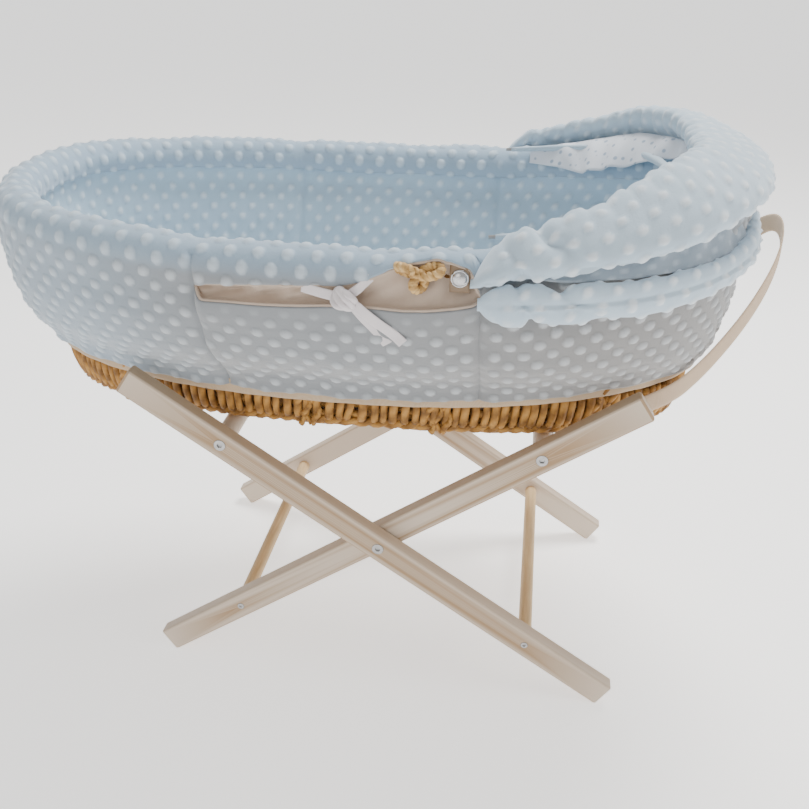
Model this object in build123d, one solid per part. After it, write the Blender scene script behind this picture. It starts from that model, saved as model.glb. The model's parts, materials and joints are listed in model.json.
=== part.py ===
from build123d import *
import os
from math import sin, cos, tan, pi, radians, sqrt, copysign

os.makedirs("parts", exist_ok=True)

# ---------------------------------------------------------------- driving dimensions (mm)
X_SHIFT, Z_SHIFT = 22.75, 0.0      # moves the pivot-centred layout to the bounding box centre

# folding X stand
LEG_ANGLE = 34.0                  # open angle of each leg above the floor, degrees
LEG_UP, LEG_DOWN = 341.0, 327.0   # pivot to upper end, pivot to foot, along the leg
LEG_W, LEG_T = 31.0, 19.0         # leg section: in the side view, and across
LEG_EDGE_R = 2.2                  # rounded long edges
FOOT_LAND = 2.0                   # depth cut off the foot corner so that it stands flat
A_NEAR, A_FAR = -191.0, 159.0     # camera-side faces of the two foot frame legs (y)
B_NEAR, B_FAR = -170.0, 180.0     # same for the two head frame legs
RAIL_AT, DOWEL_AT = 214.0, 210.0  # distance of the sling rail and the low dowel from the pivot
RAIL_D, DOWEL_D = 22.0, 16.0
PIVOT_BOLT_D, PIVOT_CLEAR = 8.0, 0.06
BOLT_HEAD_D, SCREW_HEAD_D = 13.0, 8.0
STRAP_W, STRAP_T = 48.0, 1.6      # sling webbing

# basket
XB = -41.5                        # basket centre along x, from the stand pivot
RIM_A, RIM_B, RIM_N = 407.5, 232.0, 2.35
RIM_Z, RIM_FOOT_RISE, RIM_HEAD_RISE = 537.0, 16.0, 38.0
BASE_Z = 327.0                    # underside of the woven base
WALL_T = 8.0
RIM_R, ROLL_R = 9.0, 21.0         # woven border, padded roll over it
HEM_Z, HEM_FOOT_RISE, HEM_HEAD_RISE = 374.0, 12.0, 26.0

# hood
HOOD_X, HOOD_Z = 108.0, 566.0     # hinge line of the hood arch

TH = radians(LEG_ANGLE)
PZ = LEG_DOWN*sin(TH) + LEG_W/2*cos(TH) - FOOT_LAND   # pivot height

nodes = {}


def put(name, shape):
    nodes[name] = shape


def sgnpow(v, e):
    return copysign(abs(v)**e, v)


def rim_z(x):
    u = (x-XB)/RIM_A
    return RIM_Z + (RIM_HEAD_RISE*u**2.2 if u > 0 else RIM_FOOT_RISE*u*u)


def hem_z(x):
    u = (x-XB)/RIM_A
    return HEM_Z + (HEM_HEAD_RISE*u**2 if u > 0 else HEM_FOOT_RISE*u*u)


def one(shape):
    s = shape.solids()
    s = sorted(s, key=lambda q: -q.volume)
    return s[0] if len(s) == 1 else Compound(s)


# ---------------------------------------------------------------- stand
def leg(y, side):
    """side -1: upper end towards the foot end; +1: upper end towards the head end."""
    length = LEG_UP+LEG_DOWN
    b = Box(length, LEG_T, LEG_W)
    b = fillet(b.edges().filter_by(Axis.X), LEG_EDGE_R)
    b = fillet(b.edges().filter_by(Axis.Y).sort_by(Axis.X)[-2:] , 3.0)
    b = b.moved(Location(((LEG_UP-LEG_DOWN)/2, 0, 0)))
    ang = LEG_ANGLE
    b = b.rotate(Axis.Y, -ang)
    if side < 0:
        b = b.mirror(Plane.YZ)
    b = b.moved(Location((0, y+LEG_T/2, PZ)))
    return b - Box(900, 900, 40).moved(Location((0, 0, -20)))


def on_leg(a, side):
    return side*a*cos(TH), PZ + a*sin(TH)


def ycyl(r, x, z, y0, y1):
    return Cylinder(r, y1-y0).rotate(Axis.X, 90).moved(Location((x, (y0+y1)/2, z)))


GAP = B_NEAR - (A_NEAR+LEG_T)     # 2 mm between the two frames


def socket_head(x, z, y, d, h, toward):
    """Round head with a hexagon recess; its outer face looks to -y or +y."""
    y0, y1 = (y-h, y) if toward < 0 else (y, y+h)
    c = ycyl(d/2, x, z, y0, y1)
    hexs = extrude(Plane.XZ * RegularPolygon(d*0.26, 6), amount=h*0.6/1.0, both=True)
    hexs = hexs.moved(Location((x, y0 if toward < 0 else y1, z)))
    return c - hexs


def bore(legshape, x, z, d):
    return legshape - ycyl(d/2, x, z, -400, 400)


def counter(legshape, x, z, d, face, depth, toward):
    y0, y1 = (face-1, face+depth) if toward < 0 else (face-depth, face+1)
    return legshape - ycyl(d/2, x, z, y0, y1)


fx, fz = on_leg(RAIL_AT, -1)       # foot frame rail
hx, hz = on_leg(RAIL_AT, 1)        # head frame rail
fdx, fdz = on_leg(-DOWEL_AT, -1)   # foot frame low dowel (its leg's foot is on the head side)
hdx, hdz = on_leg(-DOWEL_AT, 1)

SINK = 3.0
legs = {}
for nm, y, side, far in (("foot_frame_leg_near", A_NEAR, -1, 0), ("foot_frame_leg_far", A_FAR, -1, 1),
                         ("head_frame_leg_near", B_NEAR, 1, 0), ("head_frame_leg_far", B_FAR, 1, 1)):
    L = leg(y, side)
    rx, rz = on_leg(RAIL_AT, side)
    dx, dz = on_leg(-DOWEL_AT, side)
    pr = PIVOT_BOLT_D + (2*PIVOT_CLEAR if side > 0 else 0.0)
    L = bore(L, 0, PZ, pr)
    L = bore(L, rx, rz, 6.0)
    L = bore(L, dx, dz, 4.0)
    outer = y if not far else y+LEG_T
    tw = -1 if not far else 1
    L = counter(L, rx, rz, BOLT_HEAD_D+0.6, outer, SINK, tw)
    L = counter(L, dx, dz, SCREW_HEAD_D+0.6, outer, 1.5, tw)
    if (side < 0 and not far) or (side > 0 and far):
        L = counter(L, 0, PZ, BOLT_HEAD_D+0.6, outer, SINK, tw)
    else:
        inner = y+LEG_T if not far else y
        L = counter(L, 0, PZ, BOLT_HEAD_D+0.8, inner, SINK, -tw)
    legs[nm] = L
    put(nm, L)

for nm, side, y0, y1 in (("foot_frame", -1, A_NEAR+LEG_T, A_FAR), ("head_frame", 1, B_NEAR+LEG_T, B_FAR)):
    rx, rz = on_leg(RAIL_AT, side)
    dx, dz = on_leg(-DOWEL_AT, side)
    rail = ycyl(RAIL_D/2, rx, rz, y0, y1) - ycyl(3.0, rx, rz, y0-1, y0+32) - ycyl(3.0, rx, rz, y1-32, y1+1)
    dow = ycyl(DOWEL_D/2, dx, dz, y0, y1) - ycyl(2.0, dx, dz, y0-1, y0+22) - ycyl(2.0, dx, dz, y1-22, y1+1)
    put(nm+"_rail", rail)
    put(nm+"_dowel", dow)
    # fasteners, one of each at both ends
    o0, o1 = y0-LEG_T, y1+LEG_T
    rb = []
    for face, tw, inner in ((o0+SINK, -1, y0+30), (o1-SINK, 1, y1-30)):
        head = socket_head(rx, rz, face, BOLT_HEAD_D, 3.4, tw)
        sh = ycyl(3.0, rx, rz, face, inner) if tw < 0 else ycyl(3.0, rx, rz, inner, face)
        rb.append(head+sh)
    put(nm+"_rail_bolts", Compound([one(q) for q in rb]))
    sc = []
    for face, tw, inner in ((o0+1.5, -1, y0+20), (o1-1.5, 1, y1-20)):
        head = socket_head(dx, dz, face, SCREW_HEAD_D, 1.8, tw)
        sh = ycyl(2.0, dx, dz, face, inner) if tw < 0 else ycyl(2.0, dx, dz, inner, face)
        sc.append(head+sh)
    put(nm+"_dowel_screws", Compound([one(q) for q in sc]))

# pivots: a socket bolt from outside and a flanged barrel nut from inside, with a washer between the legs
bolts, nuts, washers = [], [], []
for o, i, tw in ((A_NEAR, B_NEAR+LEG_T, -1), (B_FAR+LEG_T, A_FAR, 1)):
    face = o+SINK if tw < 0 else o-SINK
    endf = i-SINK if tw < 0 else i+SINK
    head = socket_head(0, PZ, face, BOLT_HEAD_D, 3.4, tw)
    sh = ycyl(PIVOT_BOLT_D/2, 0, PZ, min(face, endf), max(face, endf))
    bolts.append(one(head+sh))
    n0, n1 = (endf+0.35, endf+3.4) if tw < 0 else (endf-3.4, endf-0.35)
    tip = ycyl(PIVOT_BOLT_D/2, 0, PZ, min(endf, n0 if tw < 0 else n1)-0.0, max(endf, n0 if tw < 0 else n1))
    nuts.append(one(ycyl(BOLT_HEAD_D/2, 0, PZ, n0, n1)+tip))
    w0 = A_NEAR+LEG_T if tw < 0 else A_FAR+LEG_T
    washers.append(one(ycyl(11.0, 0, PZ, w0, w0+GAP-0.3) - ycyl(PIVOT_BOLT_D/2, 0, PZ, w0-1, w0+5)))
put("pivot_bolts", Compound(bolts))
put("pivot_nuts", Compound(nuts))
put("pivot_washers", Compound(washers))

# sling webbing: each strap runs over both rails and is sewn in a loop under each
LOOP_R = RAIL_D/2 + STRAP_T


def strap_loop(x, z, y):
    ring = ycyl(LOOP_R, x, z, y-STRAP_W/2, y+STRAP_W/2) - ycyl(RAIL_D/2+0.05, x, z, y-99, y+99)
    return ring


TOPZ = fz + RAIL_D/2
SAG = 3.0
slings = []
for nm, y in (("sling_strap_near", -78.0), ("sling_strap_far", 78.0)):
    xe = hx - LOOP_R - 2.0
    p = [Vector(fx, 0, TOPZ+STRAP_T), Vector(fx+60, 0, TOPZ+STRAP_T-1.4), Vector(0, 0, TOPZ+STRAP_T-SAG),
         Vector(xe-50, 0, TOPZ+STRAP_T-1.6), Vector(xe, 0, TOPZ+STRAP_T-0.6)]
    q = [v - Vector(0, 0, STRAP_T) for v in p]
    f = Face(Wire([Edge.make_spline(p), Edge.make_line(p[-1], q[-1]), Edge.make_spline(q[::-1]), Edge.make_line(q[0], p[0])]))
    band = Solid.extrude(f, Vector(0, STRAP_W, 0)).moved(Location((0, y-STRAP_W/2, 0)))
    ring = strap_loop(fx, fz, y)
    sh = (band - ycyl(RAIL_D/2+0.05, fx, fz, -300, 300)) + ring
    put(nm, one(sh))
    slings.append(y)
put("sling_loops_head", Compound([one(strap_loop(hx, hz, y)) for y in slings]))

# ---------------------------------------------------------------- faceted solids for the woven and soft pieces


def solid_of(verts, faces):
    """Closed solid from points and triangles or quads."""
    out = []
    for f in faces:
        tris = [f] if len(f) == 3 else [(f[0], f[1], f[2]), (f[0], f[2], f[3])]
        for t in tris:
            p = [Vector(*verts[k]) for k in t]
            if (p[1]-p[0]).cross(p[2]-p[0]).length < 1e-6:
                continue
            out.append(Face(Wire.make_polygon(p, close=True)))
    return Solid(Shell(out))


def tube(sections, closed):
    """Solid through a row of sections with the same number of points each."""
    n, m = len(sections), len(sections[0])
    verts = [p for s in sections for p in s]
    faces = []
    for i in range(n if closed else n-1):
        j = (i+1) % n
        for k in range(m):
            l = (k+1) % m
            faces.append((i*m+k, i*m+l, j*m+l, j*m+k))
    if not closed:
        for base, rev in ((0, True), ((n-1)*m, False)):
            c = [sum(verts[base+k][a] for k in range(m))/m for a in range(3)]
            verts.append(tuple(c))
            ci = len(verts)-1
            for k in range(m):
                l = (k+1) % m
                faces.append((ci, base+l, base+k) if rev else (ci, base+k, base+l))
    return solid_of(verts, faces)


def lid(rings):
    """Solid through stacked rings, closed at the first and last by a fan."""
    n, m = len(rings), len(rings[0])
    verts = [p for r in rings for p in r]
    faces = []
    for i in range(n-1):
        for k in range(m):
            l = (k+1) % m
            faces.append((i*m+k, i*m+l, (i+1)*m+l, (i+1)*m+k))
    for base, rev in ((0, True), ((n-1)*m, False)):
        c = [sum(verts[base+k][a] for k in range(m))/m for a in range(3)]
        verts.append(tuple(c))
        ci = len(verts)-1
        for k in range(m):
            l = (k+1) % m
            faces.append((ci, base+l, base+k) if rev else (ci, base+k, base+l))
    return solid_of(verts, faces)


# ---------------------------------------------------------------- basket, woven leaf
N = 36
ANG = [2*pi*(i+0.5)/N for i in range(N)]
# plan outlines: z, left, right, half width, exponent
WALL = [(BASE_Z+9.3, -402.0, 326.0, 148.0, 2.5), (BASE_Z+70, -416.0, 336.0, 161.0, 2.45),
        (BASE_Z+140, -435.0, 350.0, 198.0, 2.4), (BASE_Z+203, -453.0, 370.0, 236.0, RIM_N),
        (BASE_Z+290, -454.0, 371.0, 237.0, RIM_N)]
SKIRT_T = 6.0
SKIRT = [(HEM_Z-2, -427.0, 354.0, 171.0, 2.4), (HEM_Z+26, -436.0, 357.0, 172.5, 2.4), (HEM_Z+60, -450.0, 363.0, 220.0, 2.4),
         (HEM_Z+106, -462.0, 371.0, 246.0, 2.38), (RIM_Z-5, -470.0, 386.0, 252.0, RIM_N),
         (RIM_Z+90, -471.0, 387.0, 253.0, RIM_N)]


def level(levels, z):
    for p, q in zip(levels, levels[1:]):
        if z <= q[0] or q is levels[-1]:
            k = (z-p[0])/(q[0]-p[0])
            return [p[i]+(q[i]-p[i])*k for i in (1, 2, 3, 4)]


def at(levels, t, z, d=0.0):
    l, r, b, n = level(levels, z)
    xc, a = (l+r)/2, (r-l)/2
    return (xc + (a+d)*sgnpow(cos(t), 2/n), (b+d)*sgnpow(sin(t), 2/n), z)


def side_y(levels, x, z, d=0.0):
    l, r, b, n = level(levels, z)
    xc, a = (l+r)/2, (r-l)/2
    return (b+d)*(1-abs((x-xc)/(a+d))**n)**(1/n)


def rim_pt(t):
    x = XB + RIM_A*sgnpow(cos(t), 2/RIM_N)
    return x, RIM_B*sgnpow(sin(t), 2/RIM_N), rim_z(x)


def rim_out(t):
    e = 1e-3
    a, b = rim_pt(t-e), rim_pt(t+e)
    dx, dy = b[0]-a[0], b[1]-a[1]
    q = sqrt(dx*dx+dy*dy)
    return dy/q, -dx/q


def rim_ring(section, angles=ANG):
    out = []
    for t in angles:
        x, y, z = rim_pt(t)
        nx, ny = rim_out(t)
        out.append([(x+nx*d, y+ny*d, z+h) for d, h in section])
    return out


BASE = [(BASE_Z, -386.0, 310.0, 135.0, 2.5), (BASE_Z+9, -401.0, 325.0, 147.0, 2.5)]
put("basket_base", lid([[at(BASE, t, BASE_Z) for t in ANG], [at(BASE, t, BASE_Z+4, 2.0) for t in ANG],
                        [at(BASE, t, BASE_Z+9) for t in ANG]]))


def shell_ring(levels, zs, top, d_out, thick, bottom=None):
    out = []
    for t in ANG:
        x = rim_pt(t)[0]
        zt = top(x)
        zb = bottom(x) if bottom else zs[0]
        row = [zb] + [z for z in zs[1:] if z < zt-8 and z > zb+4] + [zt]
        # same count at each station
        want = len(zs)+1
        row = [zb + (zt-zb)*k/(want-1) for k in range(want)]
        o = [at(levels, t, z, d_out) for z in row]
        i = [at(levels, t, z, d_out-thick) for z in row]
        out.append(o + i[::-1])
    return out


put("basket_wall", tube(shell_ring(WALL, [WALL[0][0], 1, 2], lambda x: rim_z(x)-RIM_R-0.4, 0.0, WALL_T), True))
put("basket_rim", tube(rim_ring([(RIM_R*cos(k*pi/4), RIM_R*sin(k*pi/4)) for k in range(8)]), True))

# rope handles: a leaf rope hanging in a loop against the outside of the wall, a knot at each end
ROPE_R = 6.0
H0, H1 = -190.0, 46.0


def tube_along(pts, radii, sides=8, squash=1.0):
    secs = []
    n = len(pts)
    for i, p in enumerate(pts):
        a, b = Vector(*pts[max(0, i-1)]), Vector(*pts[min(n-1, i+1)])
        t = (b-a).normalized()
        u = Vector(0, 1, 0) if abs(t.Y) < 0.8 else Vector(0, 0, 1)
        u = (u - t*(u.dot(t))).normalized()
        v = t.cross(u)
        r = radii[i]
        secs.append([tuple(Vector(*p) + u*(r*squash*cos(2*pi*k/sides)) + v*(r*sin(2*pi*k/sides))) for k in range(sides)])
    return tube(secs, False)


def handle(sign):
    pts, rad = [], []
    zt = RIM_Z-40
    for k in range(13):
        u = k/12
        x = H0 + (H1-H0)*u
        z = zt - 62*sin(pi*u)**0.8
        r = 9.0 if k in (0, 12) else ROPE_R
        pts.append((x, -sign*(side_y(WALL, x, z) + r + 1.0), z))
        rad.append(r)
    pts = [(H0-9, pts[0][1], zt+4)] + pts + [(H1+9, pts[-1][1], zt+4)]
    rad = [5.0] + rad + [5.0]
    return tube_along(pts, rad)


put("rope_handle_near", handle(1))
put("rope_handle_far", handle(-1))

TAB_Z = RIM_Z-38
tabs, rivets = [], []
for sign in (1, -1):
    for x in (H0-32.0, H1+32.0):
        yw = max(side_y(WALL, x, TAB_Z+q) for q in (-12, 12))
        t = Box(18, 2.4, 24).moved(Location((x, -sign*(yw+2.0), TAB_Z)))
        tabs.append(one(t - Cylinder(2.2, 40).rotate(Axis.X, 90).moved(Location((x, -sign*(yw+2.0), TAB_Z)))))
        face = yw+3.2
        dome = Solid.make_cylinder(7.5, 1.2, Plane(origin=(x, -sign*(face+0.1), TAB_Z), z_dir=(0, -sign, 0)))
        cap = Solid.make_cone(7.5, 3.5, 2.6, Plane(origin=(x, -sign*(face+1.3), TAB_Z), z_dir=(0, -sign, 0)))
        pin = Solid.make_cylinder(2.0, 2.2, Plane(origin=(x, -sign*(face-2.1), TAB_Z), z_dir=(0, -sign, 0)))
        rivets.append(one(dome + cap + pin))
put("handle_tabs", Compound(tabs))
put("handle_rivets", Compound(rivets))

# ---------------------------------------------------------------- mattress
MAT = [(BASE_Z+10, -372.0, 296.0, 134.0, 2.5), (BASE_Z+60, -372.0, 296.0, 134.0, 2.5)]
MZ0, MZ1 = BASE_Z+9.6, BASE_Z+44.0
put("mattress_core", lid([[at(MAT, t, MZ0, -9) for t in ANG], [at(MAT, t, MZ0+7, -1.2) for t in ANG],
                          [at(MAT, t, MZ1-9, -1.2) for t in ANG], [at(MAT, t, MZ1-1.2, -10) for t in ANG]]))
outer = [[at(MAT, t, MZ0+8, 0.6) for t in ANG], [at(MAT, t, MZ1-8.6, 0.6) for t in ANG], [at(MAT, t, MZ1+0.4, -9.4) for t in ANG]]
inner = [[at(MAT, t, MZ0+8, -0.9) for t in ANG], [at(MAT, t, MZ1-8.8, -0.9) for t in ANG], [at(MAT, t, MZ1-0.9, -9.9) for t in ANG]]


def cap_sheet(outer, inner):
    m = len(outer[0])
    rings = outer[::-1] + inner
    verts = [p for r in rings for p in r]
    faces = []
    for i in range(len(rings)-1):
        for k in range(m):
            l = (k+1) % m
            faces.append((i*m+k, i*m+l, (i+1)*m+l, (i+1)*m+k))
    for base, rev in ((0, True), ((len(rings)-1)*m, False)):
        c = [sum(verts[base+k][a] for k in range(m))/m for a in range(3)]
        verts.append(tuple(c))
        ci = len(verts)-1
        for k in range(m):
            l = (k+1) % m
            faces.append((ci, base+l, base+k) if rev else (ci, base+k, base+l))
    return solid_of(verts, faces)


put("mattress_cover", cap_sheet(outer, inner))

# ---------------------------------------------------------------- padded dressing
LINER_T = 6.0
put("liner_wall", tube(shell_ring(WALL, [BASE_Z+46.5, 1, 2], lambda x: rim_z(x)-12.6, -WALL_T-4.0, LINER_T), True))
U_SECTION = [(-21, -12), (-21, 1), (-15, 15), (0, 21), (15, 15), (21, 1), (21, -12),
             (10.6, -12), (10.6, 3), (7.2, 9), (0, 11), (-7.2, 9), (-10.6, 3), (-10.6, -12)]
put("rim_roll", tube(rim_ring(U_SECTION), True))

# outer skirt with a slit for the handle on each long side
SLIT_X0, SLIT_X1 = -200.0, 112.0
SLIT_LO, SLIT_HI = 487.0, 500.0


def skirt_solid():
    rows = 6
    cols = []
    for t in ANG:
        x = rim_pt(t)[0]
        zb, zt = hem_z(x), rim_z(x)-12.6
        zs = [zb, zb+(SLIT_LO-zb)*0.35, zb+(SLIT_LO-zb)*0.7, SLIT_LO, SLIT_HI, zt]
        cols.append([at(SKIRT, t, z) for z in zs] + [at(SKIRT, t, z, -SKIRT_T) for z in zs])
    n = len(cols)
    verts = [p for c in cols for p in c]
    W = 2*rows
    faces = []
    hole = []
    for i in range(n):
        j = (i+1) % n
        xa, xb = cols[i][3][0], cols[j][3][0]
        ya = cols[i][3][1]
        hole.append(SLIT_X0 <= min(xa, xb) and max(xa, xb) <= SLIT_X1 and abs(ya) > 100)
    for i in range(n):
        j = (i+1) % n
        for k in range(rows-1):
            if k == 3 and hole[i]:
                continue
            faces.append((i*W+k, j*W+k, j*W+k+1, i*W+k+1))
            a = rows+k
            faces.append((i*W+a, i*W+a+1, j*W+a+1, j*W+a))
        faces.append((i*W, i*W+rows, j*W+rows, j*W))                          # lower edge
        faces.append((i*W+rows-1, j*W+rows-1, j*W+2*rows-1, i*W+2*rows-1))    # upper edge
        if hole[i]:
            faces.append((i*W+3, j*W+3, j*W+rows+3, i*W+rows+3))
            faces.append((i*W+4, i*W+rows+4, j*W+rows+4, j*W+4))
            if not hole[i-1]:
                faces.append((i*W+3, i*W+rows+3, i*W+rows+4, i*W+4))
            if not hole[j]:
                faces.append((j*W+3, j*W+4, j*W+rows+4, j*W+rows+3))
    return solid_of(verts, faces)


put("cover_skirt", skirt_solid())

# cotton binding along the lower edge of the skirt, hanging just inside it
put("hem_binding", tube([[at(SKIRT, t, hem_z(rim_pt(t)[0])-2.0+q, -SKIRT_T-1.8-e) for q, e in ((-7, 0), (12, 0), (12, 1.5), (-7, 1.5))] for t in ANG], True))


def strip(x0, x1, z0, z1, d, thick, sign, cols=9):
    secs = []
    for i in range(cols):
        x = x0+(x1-x0)*i/(cols-1)
        row = []
        for z, e in ((z0, 0), (z1, 0), (z1, thick), (z0, thick)):
            row.append((x, -sign*(side_y(SKIRT, x, z, d)-e), z))
        secs.append(row)
    return tube(secs, False)


put("slit_facing_near", strip(SLIT_X0-8, SLIT_X1+8, SLIT_LO-22, SLIT_LO-2, -SKIRT_T-3.0, 1.4, 1))
put("slit_facing_far", strip(SLIT_X0-8, SLIT_X1+8, SLIT_LO-22, SLIT_LO-2, -SKIRT_T-3.0, 1.4, -1))


def ribbon(pts, wide, thick, up):
    """Flat strap through points; up is the direction of its width."""
    secs = []
    n = len(pts)
    for i, p in enumerate(pts):
        a, b = Vector(*pts[max(0, i-1)]), Vector(*pts[min(n-1, i+1)])
        t = (b-a).normalized()
        w = Vector(*up)
        w = (w - t*(w.dot(t))).normalized()
        f = t.cross(w)
        p = Vector(*p)
        secs.append([tuple(p + w*(wide/2*q) + f*(thick/2*e)) for q, e in ((-1, -1), (1, -1), (1, 1), (-1, 1))])
    return tube(secs, False)


KX, KZ = -40.0, SLIT_LO+2
for nm, sgn in (("slit_tie_near", 1), ("slit_tie_far", -1)):
    ky = side_y(SKIRT, KX, KZ)
    knot = tube_along([(KX-11, -sgn*(ky+7.5), KZ+1), (KX-6, -sgn*(ky+8.5), KZ+1), (KX+4, -sgn*(ky+8.5), KZ-1), (KX+10, -sgn*(ky+7.5), KZ-3)],
                      [3.0, 7.0, 7.0, 3.0])
    tails = []
    for dx, w in ((34.0, 9.0), (50.0, 9.0)):
        pts = []
        for q in (0.0, 0.35, 0.7, 1.0):
            x, z = KX+6+dx*q+(0 if dx < 40 else 5), KZ-11-50*q
            y = max(side_y(SKIRT, x, z+e) for e in (-5, 5))
            pts.append((x, -sgn*(y+2.2), z))
        tails.append(ribbon(pts, w, 1.3, (1, 0, 0.5)))
    put(nm, Compound([knot]+tails))

# ---------------------------------------------------------------- lifting strap with its stiff loop at the head end
BELT_W, BELT_T = 20.0, 2.2
LOOP = [(286, -112, 362), (312, -113, 376), (341, -98, 400), (366, -77, 424), (390, -51, 452), (409, -22, 482), (420, 8, 508),
        (422, 36, 523), (417, 66, 520), (403, 92, 500), (380, 110, 462), (351, 117, 425), (318, 118, 390), (286, 114, 364)]
put("lifting_strap", ribbon(LOOP, BELT_W, BELT_T, (0, 0, 1)))

# ---------------------------------------------------------------- hood, folded back on the head end


def head_arc(x0, xe, yb, z0, z1, wide, tall, lean, count, sides=10):
    secs = []
    for i in range(2*count-1):
        u = i/(count-1)               # 0 near, 1 head end, 2 far
        a = -pi/2 + pi/2*u
        x = x0 + (xe-x0)*abs(cos(a))**0.85
        y = yb*sgnpow(sin(a), 0.9)
        s = 1-abs(u-1)
        z = z0 + (z1-z0)*s**1.1 if z0 is not None else 0.0
        w = wide[0] + (wide[1]-wide[0])*min(1.0, s*2.2)
        h = tall[0] + (tall[1]-tall[0])*min(1.0, s*2.0)
        e = 1e-3
        a2, a1 = a+e, a-e
        dx = (xe-x0)*(abs(cos(a2))**0.85-abs(cos(a1))**0.85)
        dy = yb*(sgnpow(sin(a2), 0.9)-sgnpow(sin(a1), 0.9))
        if i == 0:
            dx, dy = 1.0, 0.25
        if i == 2*count-2:
            dx, dy = -1.0, 0.25
        q = sqrt(dx*dx+dy*dy)
        nx, ny = dy/q, -dx/q
        lr = radians(lean)*min(1.0, s*1.6)
        if z0 is None:                # rests on the padded rim roll
            z = rim_z(min(x+nx*w/2, XB+RIM_A))+ROLL_R+h/2+w/2*sin(lr)+1.6
        row = []
        for k in range(sides):
            f = 2*pi*k/sides
            o, v = w/2*cos(f), h/2*sin(f)
            o, v = o*cos(lr)+v*sin(lr), -o*sin(lr)+v*cos(lr)
            row.append((x+nx*o, y+ny*o, z+v))
        secs.append(row)
    return tube(secs, False)


put("hood_canopy", head_arc(HOOD_X, 352.0, 226.0, None, None, (20.0, 84.0), (12.0, 34.0), 12.0, 10))
put("hood_back_roll", head_arc(HOOD_X+6, 404.0, 266.0, 533.0, 545.0, (10.0, 22.0), (20.0, 40.0), 0.0, 10))
# wire arch in the front edge of the hood, inside its casing, and the pivot eyelets at its ends
AR = 2.0
arch = []
for i in range(17):
    a = -pi/2 + pi*i/16
    s = cos(a)
    arch.append((HOOD_X + (296.0-HOOD_X)*abs(cos(a))**0.85, 196.0*sgnpow(sin(a), 0.9), HOOD_Z+2 + 22*s))
put("hood_arch_wire", tube_along(arch, [AR]*17, 6))

if __name__ == "__main__":
    lo = [1e9]*3
    hi = [-1e9]*3
    for k, s in nodes.items():
        s = s.moved(Location((X_SHIFT, 0, Z_SHIFT)))
        bb = s.bounding_box()
        lo = [min(a, b) for a, b in zip(lo, (bb.min.X, bb.min.Y, bb.min.Z))]
        hi = [max(a, b) for a, b in zip(hi, (bb.max.X, bb.max.Y, bb.max.Z))]
        export_step(s, "parts/%s.step" % k)
        print(k, round(s.volume), len(s.solids()), s.is_valid, [round(v) for v in (bb.min.X, bb.max.X, bb.min.Y, bb.max.Y, bb.min.Z, bb.max.Z)])
    print("box", [round(v, 1) for v in lo], [round(v, 1) for v in hi])
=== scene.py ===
import bpy, bmesh, json
import numpy as np
from math import sin, cos, pi, radians, sqrt
from mathutils import Vector, Matrix, noise


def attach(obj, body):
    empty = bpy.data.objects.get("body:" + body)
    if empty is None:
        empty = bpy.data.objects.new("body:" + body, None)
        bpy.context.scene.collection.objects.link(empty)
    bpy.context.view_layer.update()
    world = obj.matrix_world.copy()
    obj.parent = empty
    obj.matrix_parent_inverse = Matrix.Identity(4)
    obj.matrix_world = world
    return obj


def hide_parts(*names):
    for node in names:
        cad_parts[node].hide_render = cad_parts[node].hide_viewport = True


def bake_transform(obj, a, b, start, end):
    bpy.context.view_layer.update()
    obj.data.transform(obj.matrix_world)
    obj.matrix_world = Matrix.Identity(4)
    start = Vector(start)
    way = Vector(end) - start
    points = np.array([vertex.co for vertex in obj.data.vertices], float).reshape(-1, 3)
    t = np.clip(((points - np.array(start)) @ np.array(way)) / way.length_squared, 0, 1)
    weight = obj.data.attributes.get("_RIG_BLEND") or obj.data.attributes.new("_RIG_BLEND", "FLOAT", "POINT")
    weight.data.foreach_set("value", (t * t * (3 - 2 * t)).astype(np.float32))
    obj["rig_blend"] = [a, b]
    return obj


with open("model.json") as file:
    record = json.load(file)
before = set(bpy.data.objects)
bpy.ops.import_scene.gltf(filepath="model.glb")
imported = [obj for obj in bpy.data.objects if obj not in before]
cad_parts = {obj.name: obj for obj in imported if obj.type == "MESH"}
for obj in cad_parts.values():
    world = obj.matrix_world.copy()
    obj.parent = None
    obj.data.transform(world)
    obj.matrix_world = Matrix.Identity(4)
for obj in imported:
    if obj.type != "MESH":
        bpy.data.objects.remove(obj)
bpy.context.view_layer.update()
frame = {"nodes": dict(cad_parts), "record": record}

XS = 22.75            # the layout's shift along x, mm, as in the CAD
MM = 0.001
RNG = np.random.RandomState(7)

# ------------------------------------------------------------------ camera and light
def camera():
    loc = Vector((172.3, -1120.1, 848.5))*MM
    yaw, pitch, roll = -0.12934, 0.46321, 0.01355
    cy, sy, cp, sp = cos(yaw), sin(yaw), cos(pitch), sin(pitch)
    f = Vector((sy*cp, cy*cp, -sp)); r = Vector((cy, -sy, 0)); u = r.cross(f)
    r2 = cos(roll)*r + sin(roll)*u; u2 = -sin(roll)*r + cos(roll)*u
    m = Matrix(((r2.x, u2.x, -f.x, loc.x), (r2.y, u2.y, -f.y, loc.y), (r2.z, u2.z, -f.z, loc.z), (0, 0, 0, 1)))
    cam = bpy.data.objects.new("camera", bpy.data.cameras.new("camera"))
    bpy.context.scene.collection.objects.link(cam)
    cam.matrix_world = m
    cam.data.sensor_width = 36.0
    cam.data.lens = 993.94/809*36.0
    cam.data.clip_start = 0.01
    bpy.context.scene.camera = cam


camera()


def area_light(name, loc, target, size, power, color):
    l = bpy.data.lights.new(name, "AREA"); l.shape = "DISK"; l.size = size; l.energy = power; l.color = color
    o = bpy.data.objects.new(name, l); bpy.context.scene.collection.objects.link(o)
    o.location = loc
    o.rotation_euler = (Vector(target)-Vector(loc)).to_track_quat("-Z", "Y").to_euler()
    return o


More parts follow.
